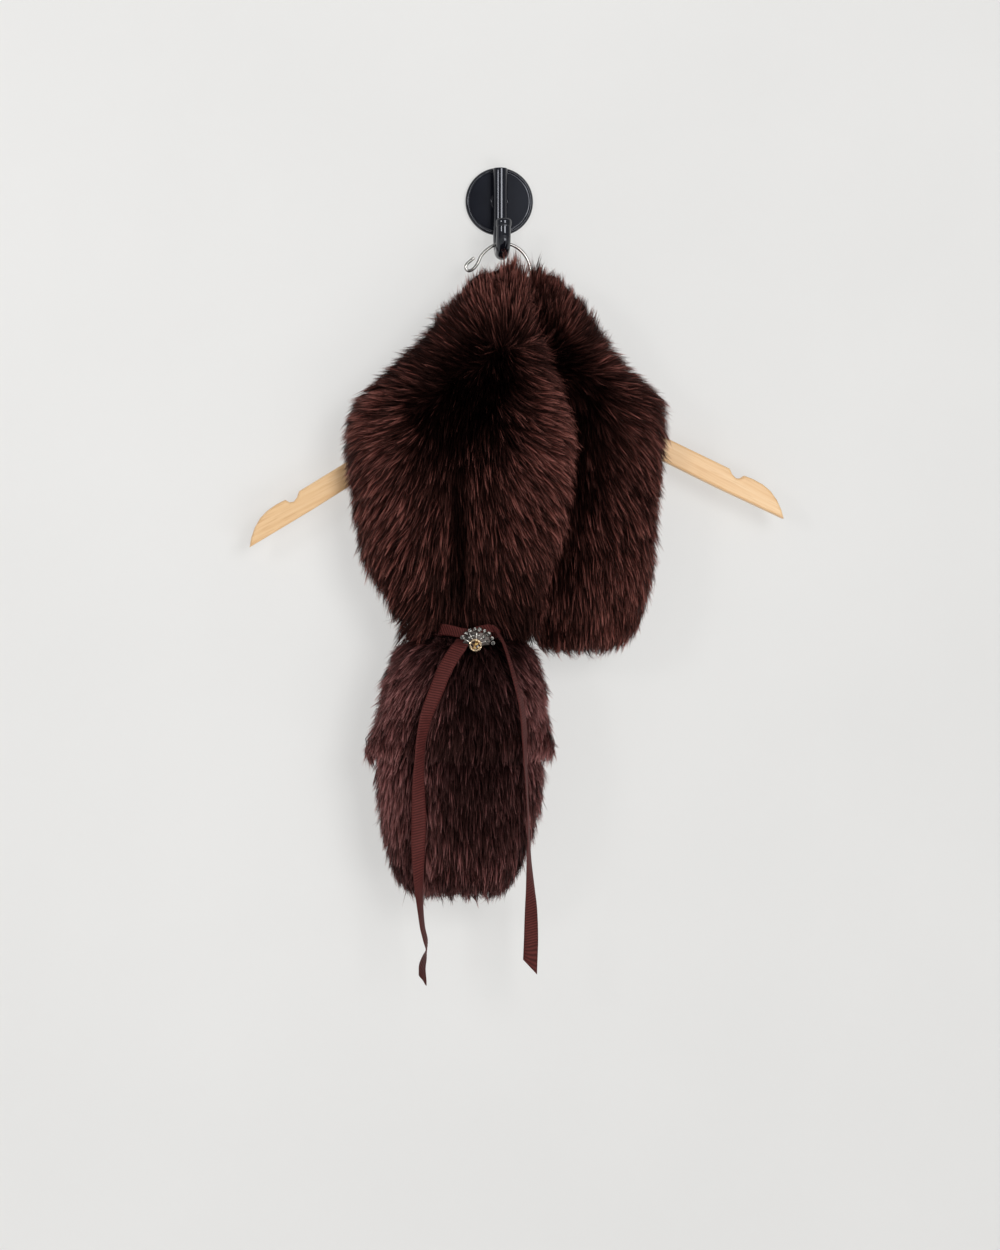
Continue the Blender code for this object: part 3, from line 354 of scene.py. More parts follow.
# x and z in the hanger's own frame: the curled end, the round hook and the stem
WIRE_PATH = [
    (-23.7, -10.7), (-27.3, -13.3), (-30.2, -15.7), (-31.5, -18.4), (-30.6, -20.7), (-28.3, -21.5),
    (-25.2, -20.1), (-22.6, -17.4), (-20.6, -14.4), (-17.9, -9.4), (-13, -4.7), (-6.6, -1.2), (0.3, 0),
    (8, -1.5), (15.2, -6.3), (20.2, -13.4), (22.4, -21.2), (22.2, -28.8), (19.4, -36), (12.4, -43.4),
    (4.6, -50.6), (0.6, -58), (0, -66), (0, -78), (0, -91.7),
]

# ---- the ribbon: each free end's middle line (x, y, z) and its turn about its length

RIBBON_HALF = 6.0
RIBBON_THICK = 0.7
RIBBON_EDGE = (1.02, 8)  # how round its edge is: over 1 leaves it a little thickness, and a power
RIBBON_CUP = 0.35
RIBBON_STEP = 0.42
RIBBON_COLUMNS = 9
RIB_PITCH = 2.2
RIB_HEIGHT = 0.18
RIB_END = (0.82, 0.98)  # where ribs die away, as shares of the half width
RIB_SHADE_LAYER = "rib"  # the attribute that holds each point's height on its rib, which sets the painted shade in its grooves
RIB_SLANT = 0.25
LEFT_CUT = -4.0  # how far each cut end slants
RIGHT_CUT = 6.0
CUT_RUN = 14  # the length over which its ribs turn to that slant
TIE_Z = -365.15
BAND_LIFT = -0.9
BAND_BACK = (-58, 60)  # behind this y, the band counts as this much further from the knot
BAND_WIDTH = (0.66, 0.2)  # of the ribbon's at the knot, and what it gains away from it
BAND_GAIN = (6, 34)
# its crumples out from the waist, up and down, and in tilt: size, waves round the ring and phase
BAND_CRUMPLE = [(0.25, 9, 0)]
BAND_RIPPLE = [(0.5, 3, 0), (0.35, 7, 1)]
BAND_TILT = [(0.25, 5, 2)]
KNOT_SIZE = (24.0, 9.0, 12.6)
KNOT_AT = (-24.5, -77.5, -366.0)
KNOT_WAIST = 0.22
KNOT_END = (3.2, 2.2)  # powers of its outline's fall to each end
KNOT_COLOUR = 0.6  # the same as that of a rib's point at this height
PLEAT_SWAY = (1.4, 2.2)
PLEAT_FADE = 0.5
RIBBON_LEFT = [
    (-36.5, -78, -369, 0), (-39.5, -84.3, -373.5, 0), (-43, -86.6, -378, 0), (-47, -88.7, -384, 0),
    (-53, -91.8, -394, 3), (-57.5, -94.5, -405, 8), (-63, -97.3, -418, 16), (-68, -98.5, -431, 28),
    (-72, -99.2, -450, 42), (-73.3, -98.2, -466, 42), (-74, -95.9, -481, 34), (-74, -94.2, -497, 20),
    (-73.7, -92.8, -512, 5), (-74, -92, -530, 8), (-74, -91.8, -548, 26), (-73.6, -90.4, -564, 44),
    (-72.6, -86.1, -579, 56), (-71.4, -84, -592, 63), (-69.9, -83.6, -604, 66),
    (-67.6, -83.6, -614, 68), (-67, -83.6, -621.5, 84), (-68.4, -83.6, -628, 104),
    (-70, -83.6, -635, 115), (-70, -83.6, -643, 118),
]
RIBBON_RIGHT = [
    (-19, -77, -360.5, 50), (-13, -76.7, -357, 64), (-8.2, -79.9, -363, 73), (-3.6, -86.5, -372, 75),
    (0.6, -93, -386, 73), (4.6, -96.5, -401, 68), (8.6, -98.6, -416, 64), (11, -98.7, -430, 63),
    (12.2, -98.6, -448, 66), (13.1, -97, -467, 71), (14.6, -93.7, -491, 77), (16.1, -90.7, -520, 79),
    (16.8, -87.5, -536, 74), (17.4, -84.4, -552, 64), (18.6, -82.8, -574, 46), (19.2, -82.4, -590, 27),
    (19.2, -82.4, -613, 8), (18.6, -82.4, -631, 0),
]
# the waist band's middle line: x, y and how far it lies above the tie's height
WAIST_RING = [
    (-82, -60, 0), (-80.4, -62.8, 0), (-75.7, -64.8, 0.5), (-68.2, -63, 1), (-58.5, -66, 4),
    (-47.2, -72.5, 4.5), (-35, -75.5, 2.5), (-22.8, -75, 0), (-11.5, -70, 0), (-1.8, -65.5, 0),
    (5.7, -64.7, 0), (10.4, -63.3, 0), (12, -60, 0), (10.4, -55.7, 0), (5.7, -54.2, 0),
    (-1.8, -53.3, 0), (-11.5, -53, 0), (-22.8, -52.9, 0), (-35, -52.8, 0), (-47.2, -52.9, 0),
    (-58.5, -53, 0), (-68.2, -53.3, 0), (-75.7, -54.2, 0), (-80.4, -55.7, 0),
]
KNOT_FOLD = [
    (-31, -78, -363.5), (-27, -81, -361), (-20, -82.6, -359.5), (-13, -82, -359.3), (-8, -79, -361.5),
    (-6, -75, -364.5),
]
FOLD_HALF = (3.4, 1.6)  # at its middle, and how much narrower at its ends
FOLD_ACROSS = np.array([0.0, 0.5, 1.0])

# ---- the pelts: the colours of their darkest and lightest strands, from root to tip

DARK_PLACES = (0, 0.55, 1)
LIGHT_PLACES = (0, 0.5, 0.8, 1)
BROWN_DARK = [(0.001, 0.0004, 0.0003), (0.0016, 0.0006, 0.0005), (0.003, 0.0011, 0.001)]
BROWN_LIGHT = [(0.003, 0.001, 0.0009), (0.05, 0.014, 0.011), (0.27, 0.092, 0.074), (0.62, 0.25, 0.205)]
PLUM_DARK = [(0.001, 0.0004, 0.0004), (0.0016, 0.0006, 0.0006), (0.003, 0.0012, 0.0012)]
PLUM_LIGHT = [(0.003, 0.001, 0.001), (0.05, 0.015, 0.014), (0.27, 0.104, 0.098), (0.62, 0.29, 0.27)]
# the cloth's own dark colour, kept near black to paint the shade deep in the pile
BACKING_COLOUR = (0.0022, 0.0009, 0.0008)

# a pelt: its pieces' name, the node it replaces, the node across its seams and the side it faces
# (-1 for the front), its comb, strand and number of strands, its flat size and area in metres, its
# fur and the y of its seams; then its reaches and partings, how messy it is, how strong its streaks
# are, how much painted light makes its edge paler, its tips' share of their height, how deep its cloth
# lies, how near its twin's edge meets it, the tilts of its own and its twin's outer face, and the node
# that covers it
Pelt = namedtuple(
    "Pelt",
    "name node twin side comb strand count flat area fur seam_y reaches partings mess contrast"
    " edge_tone rise depth seam_reach tilt twin_tilt under",
    defaults=((), (), 1.0, STREAK_TONE, EDGE_PAINTED_LIGHT, 1.0, BACKING_DEPTH, SEAM_REACH, LEAST_TILT,
              LEAST_TILT, None),
)


def unit(v):
    return v / np.maximum(np.linalg.norm(v, axis=-1, keepdims=True), TINY)


def dot(a, b):
    return np.sum(a * b, axis=-1, keepdims=True)


def fade(value, start, end):
    """0 up to start, 1 from end, and a smooth rise between them."""
    share = np.clip((value - start) / (end - start), 0, 1)
    return share * share * (3 - 2 * share)


def scaled(colour, by):
    return tuple(by * c for c in colour)


def circle(count, start=0.0):
    """Even angles all round a circle."""
    return [start + 2 * math.pi * k / count for k in range(count)]


def around(centre, radius, angle, height=0.0):
    """A point round a centre in the x-z plane, and in front of it by a height."""
    return centre[0] + radius * math.cos(angle), centre[1] - height, centre[2] + radius * math.sin(angle)


# ---- materials


class Nodes:
    """A new material: n(kind, inputs, settings) adds a shader node to it and links its inputs."""

    def __init__(self, name):
        self.material = bpy.data.materials.new(name)
        self.material.use_nodes = True
        self.tree = self.material.node_tree
        self.tree.nodes.clear()

    def __call__(self, kind, inputs=None, **settings):
        node = self.tree.nodes.new("ShaderNode" + kind)
        for key, value in settings.items():
            setattr(node, key, value)
        for key, value in (inputs or {}).items():
            socket = node.inputs[key]
            if isinstance(value, bpy.types.NodeSocket):
                self.tree.links.new(value, socket)
            elif socket.type == "RGBA":
                socket.default_value = (*value, 1)
            else:
                socket.default_value = value
        return node

    def place(self):
        return self("TexCoord").outputs["Object"]

    def noise(self, place, scale, detail, **more):
        """Clouds from 0 to 1."""
        inputs = {"Vector": place, "Scale": scale, "Detail": detail, **more}
        return self("TexNoise", inputs).outputs["Fac"]

    def ramp(self, factor, stops):
        stops = list(stops)
        node = self("ValToRGB", {"Fac": factor})
        elements = node.color_ramp.elements
        while len(elements) < len(stops):
            elements.new(0.5)
        for element, (place, colour) in zip(elements, stops):
            element.position = place
            element.color = (*colour, 1)
        return node.outputs["Color"]

    def between(self, factor, low, high, **more):
        """A number that runs from low to high as the factor goes from 0 to 1."""
        inputs = {"Value": factor, "To Min": low, "To Max": high, **more}
        return self("MapRange", inputs).outputs[0]

    def math(self, operation, a, b=0.0):
        return self("Math", {0: a, 1: b}, operation=operation).outputs[0]

    def mix(self, factor, a, b, **settings):
        return self("Mix", {"Factor": factor, 6: a, 7: b}, data_type="RGBA", **settings).outputs[2]

    def either(self, factor, a, b):
        return self("MixShader", {0: factor, 1: a, 2: b}).outputs[0]

    def bump(self, height, strength, distance):
        inputs = {"Height": height, "Strength": strength, "Distance": distance}
        return self("Bump", inputs).outputs[0]

    def finish(self, shader):
        self("OutputMaterial", {"Surface": shader})
        return self.material

    def principled(self, inputs):
        return self.finish(self("BsdfPrincipled", inputs).outputs[0])


def fur_material(name, dark, light):
    """Fur whose colour runs from root to tip along v, and from a dark to a light strand along u."""
    n = Nodes(name)
    uv = n("UVMap", uv_map=STRAND_UV).outputs["UV"]
    split = n("SeparateXYZ", {0: uv}).outputs
    deep = n.ramp(split[1], zip(DARK_PLACES, dark))
    pale = n.ramp(split[1], zip(LIGHT_PLACES, light))
    return n.principled({
        "Base Color": n.mix(split[0], deep, pale),
        "Roughness": 0.42,
        "Specular IOR Level": 0.25,
        "Specular Tint": (0.5, 0.22, 0.18),
    })


def cloth_material(name, colour):
    """The knitted cloth that the pile is worked into, paler on the crests of its stitches."""
    n = Nodes(name)
    stitches = {"Vector": n.place(), "Scale": 320.0, "Distortion": 1.5, "Detail": 2.0}
    knit = n("TexWave", stitches, bands_direction="Z").outputs["Fac"]
    return n.principled({
        "Base Color": n.ramp(knit, [(0.0, colour), (1.0, scaled(colour, 1.6))]),
        "Roughness": 0.95,
        "Specular IOR Level": 0.0,
        "Normal": n.bump(knit, strength=0.4, distance=0.0004),
    })


def ribbon_material(name):
    """Dark brown grosgrain: cross ribs with painted shade in their grooves, and slightly uneven dye."""
    n = Nodes(name)
    place = n.place()
    rib = n("Attribute", attribute_name=RIB_SHADE_LAYER).outputs["Fac"]
    dye = n.noise(place, scale=160.0, detail=4.0)
    crest = n.ramp(dye, [(0.3, (0.090, 0.020, 0.018)), (0.7, (0.125, 0.029, 0.026))])
    threads = n.noise(place, scale=1400.0, detail=2.0)
    return n.principled({
        # painted shade: the grooves between the ribs take this dark colour
        "Base Color": n.mix(rib, (0.022, 0.005, 0.0045), crest),
        "Roughness": 0.6,
        "Specular IOR Level": 0.25,
        "Specular Tint": (0.8, 0.45, 0.4),
        "Sheen Weight": 0.08,
        "Sheen Roughness": 0.4,
        "Sheen Tint": (0.7, 0.35, 0.32),
        "Normal": n.bump(threads, strength=0.25, distance=0.0003),
    })


def wood_material(name):
    """Pale lacquered beech: fine grain along each arm, with short darker flecks."""
    n = Nodes(name)
    split = n("SeparateXYZ", {0: n.place()}).outputs
    away = n.math("ABSOLUTE", split[0])
    mirrored = n("CombineXYZ", {0: away, 1: split[1], 2: split[2]}).outputs[0]
    along = n("Mapping", {"Vector": mirrored, "Rotation": (0, GRAIN_SLOPE, 0)}).outputs[0]
    along = n("Mapping", {"Vector": along, "Scale": (6, 60, 150)}).outputs[0]
    grain = n.noise(along, scale=1.6, detail=6.0, Roughness=0.6)
    flecks = n.noise(along, scale=9.0, detail=2.0)
    base = n.ramp(grain, [
        (0.30, (0.70, 0.41, 0.19)), (0.50, (0.80, 0.52, 0.27)), (0.72, (0.86, 0.60, 0.34)),
    ])
    dark = n.ramp(flecks, [(0.28, (0.72, 0.58, 0.44)), (0.42, (1, 1, 1))])
    return n.principled({
        "Base Color": n.mix(0.45, base, dark, blend_type="MULTIPLY"),
        "Roughness": 0.42,
        "Specular IOR Level": 0.3,
        "Coat Weight": 0.15,
        "Coat Roughness": 0.18,
        "Normal": n.bump(flecks, strength=0.08, distance=0.0004),
    })


def metal_material(name, colour, roughness):
    """Polished metal with the faint streaks of handling."""
    n = Nodes(name)
    smear = n.noise(n.place(), scale=220.0, detail=3.0)
    return n.principled({
        "Base Color": n.ramp(smear, [(0.2, scaled(colour, 0.85)), (0.8, colour)]),
        "Metallic": 1.0,
        "Roughness": n.between(smear, 0.7 * roughness, 1.5 * roughness),
    })


def lacquer_material(name, roughness, specular, paleness):
    """Black lacquer on metal: a little blue, its gloss a little uneven."""
    n = Nodes(name)
    dust = n.noise(n.place(), scale=60.0, detail=4.0)
    deep, pale = (scaled(colour, paleness) for colour in LACQUER)
    return n.principled({
        "Base Color": n.ramp(dust, [(0.35, deep), (0.75, pale)]),
        "Roughness": n.between(dust, 0.8 * roughness, 1.25 * roughness),
        "Specular IOR Level": specular,
        "Specular Tint": (0.9, 0.92, 1.0),
    })


def gem_material(name, stops, scale):
    """Cut glass whose colour holds painted reflections: noise paints darker and brighter spots for its
    facets' glints.
    """
    n = Nodes(name)
    return n.principled({
        "Base Color": n.ramp(n.noise(n.place(), scale, detail=1.0), stops),
        "Roughness": 0.05,
        "IOR": 1.6,
        "Transmission Weight": 0.3,
        "Coat Weight": 0.5,
        "Coat Roughness": 0.03,
    })


# ---- pieces and meshes


def linked(name, data):
    """A new object in the scene."""
    item = bpy.data.objects.new(name, data)
    bpy.context.scene.collection.objects.link(item)
    return item


def add_piece(name, mesh, material, node=None):
    """A piece of the wrap or its hook, which stands for a node if one is named."""
    mesh.materials.append(material)
    item = linked(name, mesh)
    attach(item, BODY)
    if node:
        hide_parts(node)
    return item


def smooth_mesh(name, points, faces):
    """A mesh from points in millimetres."""
    mesh = bpy.data.meshes.new(name)
    mesh.from_pydata((np.reshape(points, (-1, 3)) * MM).tolist(), [], faces)
    mesh.update()
    mesh.shade_smooth()
    return mesh


def coordinates(mesh):
    """The mesh's points, in metres."""
    flat = np.empty(len(mesh.vertices) * 3)
    mesh.vertices.foreach_get("co", flat)
    return flat.reshape(-1, 3)


def skin(rings, count, closed=False, base=0):
    """The faces over rings of count points, numbered from base; closed joins the last to the first."""
    faces = []
    for i in range(rings if closed else rings - 1):
        here, there = base + i * count, base + (i + 1) % rings * count
        for k in range(count):
            after = (k + 1) % count
            faces.append((here + k, here + after, there + after, there + k))
    return faces


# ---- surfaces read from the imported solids


def node_triangles(node):
    """A node's vertices, in millimetres, with those that share a place made one, and its triangles."""
    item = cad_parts[node]
    mesh = item.data
    mesh.calc_loop_triangles()
    verts = coordinates(mesh) @ np.array(item.matrix_world.to_3x3()).T
    verts = (verts + np.array(item.matrix_world.translation)) / MM
    tris = np.empty(len(mesh.loop_triangles) * 3, dtype=np.int64)
    mesh.loop_triangles.foreach_get("vertices", tris)
    _, first, inverse = np.unique(np.round(verts / WELD), axis=0, return_index=True, return_inverse=True)
    return verts[first], inverse.reshape(-1)[tris].reshape(-1, 3)


Surface = namedtuple("Surface", "verts tris normals")


def outer_face(node, side, least):
    """The part of a pelt's solid that its pile ends on: the faces that look to side of the y axis."""
    verts, tris = node_triangles(node)
    a, b, c = (verts[tris[:, k]] for k in range(3))
    cross = np.cross(b - a, c - a)
    size = np.linalg.norm(cross, axis=1)
    keep = (size > LEAST_AREA) & (cross[:, 1] * side > least * size)
    tris, cross = tris[keep], cross[keep]
    used, tris = np.unique(tris, return_inverse=True)
    tris = tris.reshape(-1, 3)
    verts = verts[used]
    normals = np.zeros_like(verts)
    for k in range(3):
        np.add.at(normals, tris[:, k], cross)
    return Surface(verts, tris, unit(normals))


def joined_normals(surface, twin, reach):
    """The surface with its edge's normals shared with the twin pelt's edge, across the seam."""
    normals = surface.normals.copy()
    for i, place in enumerate(surface.verts):
        gap = np.linalg.norm(twin.verts - place, axis=1)
        near = int(np.argmin(gap))
        if gap[near] < reach:
            normals[i] += twin.normals[near]
    return Surface(surface.verts, surface.tris, unit(normals))


def covered(place, other, least=0.25, edge=25, top=40):
    """A weight for scatter: the least where another node covers the pelt, well inside its edge."""
    low, high = (np.array(v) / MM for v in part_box(other))
    inside = (place[:, 0] > low[0] + edge) & (place[:, 0] < high[0] - edge)
    inside &= (place[:, 2] > low[2] + edge) & (place[:, 2] < high[2] - top)
    return np.where(inside, least, 1.0)


def scatter(surface, count, rng, under):
    """Places spread evenly over a surface, but thinly under another node, with the normal at each."""
    a, b, c = (surface.verts[surface.tris[:, k]] for k in range(3))
    share = np.linalg.norm(np.cross(b - a, c - a), axis=1)
    if under:
        share = share * covered((a + b + c) / 3, under)
    picked = rng.choice(len(share), count, p=share / share.sum())
    u, v = rng.random((count, 1)), rng.random((count, 1))
    over = u + v > 1
    u, v = np.where(over, 1 - u, u), np.where(over, 1 - v, v)
    corners = surface.tris[picked]
    place, normal = (
        table[corners[:, 0]] * (1 - u - v) + table[corners[:, 1]] * u + table[corners[:, 2]] * v
        for table in (surface.verts, surface.normals)
    )
    return place, unit(normal)


# ---- the pile


def combed(guides, place):
    """The pile's heading in the x-z plane, its lean and its tone, blended from the guides round it."""
    table = np.array(guides, float)
    gap = (place[:, :1] - table[:, 0]) ** 2 + (place[:, 2:] - table[:, 1]) ** 2
    weights = ((gap + soft) ** COMB_POWER for soft in COMB_SOFTNESS)
    close, wide = (weight / weight.sum(axis=1, keepdims=True) for weight in weights)
    angle = np.radians(table[:, 2])
    heading = np.arctan2(close @ np.sin(angle), close @ np.cos(angle))
    return heading, close @ (table[:, 3] / 100), wide @ (table[:, 4] / 100)


def nearest_of(place, centres):
    """For each place, the number of its nearest centre."""
    tree = kdtree.KDTree(len(centres))
    for k, centre in enumerate(centres):
        tree.insert(centre, k)
    tree.balance()
    return np.array([tree.find(p)[1] for p in place.tolist()])


def fur_mesh(name, root, bend, tip, half, tone):
    """A pile of strands, each a narrow kite with a bend, its tone along u and root to tip along v."""
    count = len(root)
    corners = np.stack([root, bend - half, bend + half, tip], axis=1).reshape(-1, 3) * MM
    loops = (np.arange(count)[:, None] * 4 + KITE).reshape(-1)
    mesh = bpy.data.meshes.new(name)
    mesh.vertices.add(4 * count)
    mesh.vertices.foreach_set("co", corners.reshape(-1).astype(np.float32))
    mesh.loops.add(6 * count)
    mesh.loops.foreach_set("vertex_index", loops.astype(np.int32))
    mesh.polygons.add(2 * count)
    mesh.polygons.foreach_set("loop_start", np.arange(0, 6 * count, 3, dtype=np.int32))
    layer = mesh.uv_layers.new(name=STRAND_UV)
    uv = np.stack([tone[:, None] + KITE_U, np.broadcast_to(KITE_V, (count, 6))], axis=2)
    layer.data.foreach_set("uv", uv.reshape(-1).astype(np.float32))
    mesh.update(calc_edges=True)
    mesh.shade_smooth()
    return mesh


def parted(place, partings):
    """How near each place is to a parting, from 0 to 1 on its line, and how deep its pile sinks."""
    near, sunk = np.zeros(len(place)), np.zeros(len(place))
    flat = place[:, [0, 2]]
    for parting in partings:
        start, end = (np.array(p, float) for p in (parting.start, parting.end))
        along = end - start
        share = np.clip((flat - start) @ along / (along @ along), 0, 1)
        gap = np.linalg.norm(flat - start - share[:, None] * along, axis=1)
        now = 1 - fade(gap, PARTING_CORE * parting.half_width, parting.half_width)
        now = now * fade(share, 0, PARTING_CORE)
        near, sunk = np.maximum(near, now), np.maximum(sunk, now * parting.depth)
    return near, sunk


def gathered(points, groups, total, pull):
    """Points drawn towards the middle of their group."""
    sums = np.zeros((total, 3))
    np.add.at(sums, groups, points)
    middle = sums / np.maximum(np.bincount(groups, minlength=total), 1)[:, None]
    return points + (middle[groups] - points) * pull


def streak_field(rng, low, high):
    """Noise drawn out along the pile's flow, as its clumps are: the same value all along a clump."""
    fields = []
    for cell, share in STREAK_CELLS:
        size = ((high - low) / cell).astype(int) + 2
        fields.append((cell, share, rng.normal(0, 1, size)))

    def read(place, flow):
        total = np.zeros(len(place))
        for cell, share, field in fields:
            last = np.array(field.shape) - 1
            part = np.zeros(len(place))
            for step in np.arange(*STREAK_RUN):
                at = np.clip((place + flow * step - low) / cell, 0, last).astype(int)
                part += field[at[:, 0], at[:, 1]]
            total += share * part / part.std()
        return total

    return read


def within(zone, place, edge=5.0):
    """How fully each place lies in a reach, from 0 to 1, with a soft edge at its sides."""
    toward = math.copysign(1, zone.end - zone.start)
    share = fade(place[:, 2] * toward, zone.start * toward, zone.end * toward)
    sides = fade(place[:, 0], zone.left - edge, zone.left + edge)
    sides = sides * fade(-place[:, 0], -zone.right - edge, edge - zone.right)
    return share * sides


def keep_clear(points):
    """Moves points in front of the wall, and behind the brooch where it lies over them."""
    points[:, 1] = np.minimum(points[:, 1], -WALL_GAP)
    across, up = ((points[:, k] - middle) / half_size for k, middle, half_size in BROOCH_ROOM)
    under = 1 - fade(np.hypot(across, up), *BROOCH_EDGE)
    points[:, 1] += under * np.maximum(BROOCH_BACK - points[:, 1], 0)


def grow_pile(pelt, surface, rng):
    """The pile of one pelt: strands in streaks and small tufts, combed by the pelt's guides."""
    count, strand, mess = pelt.count, pelt.strand, pelt.mess
    place, normal = scatter(surface, count, rng, pelt.under)
    tufts, locks = (
        place[rng.choice(count, max(count // size, 1), replace=False)] for size in (TUFT, LOCK)
    )
    tuft, lock = (nearest_of(place, centres) for centres in (tufts, locks))

    def varied(lock_range, tuft_range, strand_range):
        return (
            rng.normal(0, lock_range, len(locks))[lock]
            + rng.normal(0, tuft_range, len(tufts))[tuft]
            + rng.normal(0, strand_range, count)
        )

    angle, lean, tone = combed(pelt.comb, place)
    angle = angle + np.radians(varied(*HEADING_SPREAD)) * mess
    stray = rng.random(count) < STRAY_SHARE
    turned = 1 - np.abs(normal[:, 1])
    rim = fade(turned, *RIM_TURN)
    lean = lean * (1 - EDGE_LIFT * turned) + varied(*LEAN_SPREAD)
    lean = np.clip(lean - np.where(stray, STRAY_LIFT, 0.0), *LEAN_RANGE)[:, None]

    flat, flat_flow = place[:, [0, 2]], np.stack([np.cos(angle), np.sin(angle)], axis=1)
    flat_across = np.stack([-np.sin(angle), np.cos(angle)], axis=1)
    read = streak_field(rng, flat.min(axis=0) - STREAK_MARGIN, flat.max(axis=0) + STREAK_MARGIN)
    streak = read(flat, flat_flow)
    probe = flat_across * STREAK_PROBE
    uphill = np.tanh(read(flat + probe, flat_flow) - read(flat - probe, flat_flow))

    flow = np.insert(flat_flow, 1, 0, axis=1)
    flow = flow - normal * dot(flow, normal)
    fall = normal * normal[:, 2:] - UPWARD
    size = np.linalg.norm(flow, axis=1, keepdims=True)
    flow = unit(flow + fall * np.clip(FALL_BELOW - size, 0, 1))
    outer = unit(lean * flow + (1 - lean) * normal)
    inner = unit(ROOT_LEAN * lean * flow + (1 - ROOT_LEAN * lean) * normal)

    near, sunk = parted(place, pelt.partings)
    spread = rng.normal(0, 1, count).clip(-SPREAD_LIMIT, SPREAD_LIMIT)
    length = strand.length * (1 + LENGTH_SPREAD * spread)[:, None]
    tuft_rise = TUFT_RISE + MESSY_RISE * mess * (mess > 1)
    rise = STREAK_RISE * streak + varied(LOCK_RISE, tuft_rise, STRAND_RISE)
    rise = TIP_LEVEL + np.clip(rise, *TIP_RANGE) - sunk
    ragged = rng.uniform(*RAGGED_RANGE, len(tufts))[tuft] ** RAGGED_POWER
    further = EDGE_SPIKE * rim * rng.exponential(1.0, len(tufts))[tuft].clip(0, SPIKE_LIMIT)
    for zone in pelt.reaches:
        share = within(zone, place)
        further = further + share * zone.reach * ragged
        rise = rise + share * zone.lift
    tip = place + normal * (rise * pelt.rise)[:, None]
    tip = tip + outer * (further * rng.uniform(*REACH_RANGE, count))[:, None]
    tip = tip + np.insert(flat_across, 1, 0, axis=1) * (uphill[:, None] * STREAK_DRAW)
    bend = tip - outer * length * (1 - ROOT_SHARE)
    root = bend - inner * length * ROOT_SHARE

    pull = np.where(stray, STRAY_PULL, 1.0) * (rng.uniform(*TUFT_PULL, count) + RIM_PULL * rim)
    pull = np.clip(pull * mess, 0, PULL_LIMIT)[:, None]
    spread_tip = tip
    tip = gathered(tip, tuft, len(tufts), pull)
    tip = gathered(tip, lock, len(locks), LOCK_PULL * mess)
    tip = tip + outer * dot(spread_tip - tip, outer) * PULL_RETURN
    bend = gathered(bend, tuft, len(tufts), BEND_PULL * pull)

    facing = unit(normal + FACING_SPREAD * rng.normal(0, 1, (count, 3)))
    half = unit(np.cross(unit(tip - bend), facing)) * strand.half_width
    half = half * rng.uniform(*WIDTH_RANGE, (count, 1)) * (1 - EDGE_THIN * rim)[:, None]
    # the tone carries painted shade, darker in a parting, and painted light, paler on the pelt's rim
    tone = (tone * (1 - CREASE_SHADE * near) + pelt.edge_tone * rim) ** TONE_POWER
    evening = STREAK_EVENING * pelt.contrast ** 2
    tone = tone * np.exp(pelt.contrast * streak + varied(*TONE_SPREAD) - evening - TONE_DROP)
    for points in (root, bend, tip):
        keep_clear(points)
    return fur_mesh(f"{pelt.name}_pile", root, bend, tip, half, np.clip(tone, *TONE_RANGE))


def backing_mesh(name, pelt, surface):
    """The pelt's cloth: its outer face set in by the pile's depth, most where the pelt is fullest."""
    points = surface.verts - surface.normals * pelt.depth
    points[:, 1] = pelt.seam_y + (points[:, 1] - pelt.seam_y) * BACKING_FLATNESS
    return smooth_mesh(name, points, surface.tris.tolist())


# ---- the stage


def look_at(item, target):
    item.rotation_euler = (Vector(target) - item.location).to_track_quat("-Z", "Y").to_euler()


def build_camera():
    data = bpy.data.cameras.new("camera")
    data.lens = LENS_MM
    data.sensor_width = SENSOR_MM
    data.clip_end = CAMERA_REACH
    camera = linked("camera", data)
    ahead = Vector((math.sin(CAMERA_TURN), math.cos(CAMERA_TURN), 0))
    camera.location = CAMERA_TARGET - ahead * CAMERA_DISTANCE
    look_at(camera, CAMERA_TARGET)
    bpy.context.scene.camera = camera


def area_light(name, place, target, size, power):
    data = bpy.data.lights.new(name, "AREA")
    data.shape = "RECTANGLE"
    data.size, data.size_y = size
    data.energy = power
    item = linked(name, data)
    item.location = place
    look_at(item, target)


def plane(name, corners, material):
    mesh = bpy.data.meshes.new(name)
    mesh.from_pydata(corners, [], [(0, 1, 2, 3)])
    mesh.materials.append(material)
    linked(name, mesh)


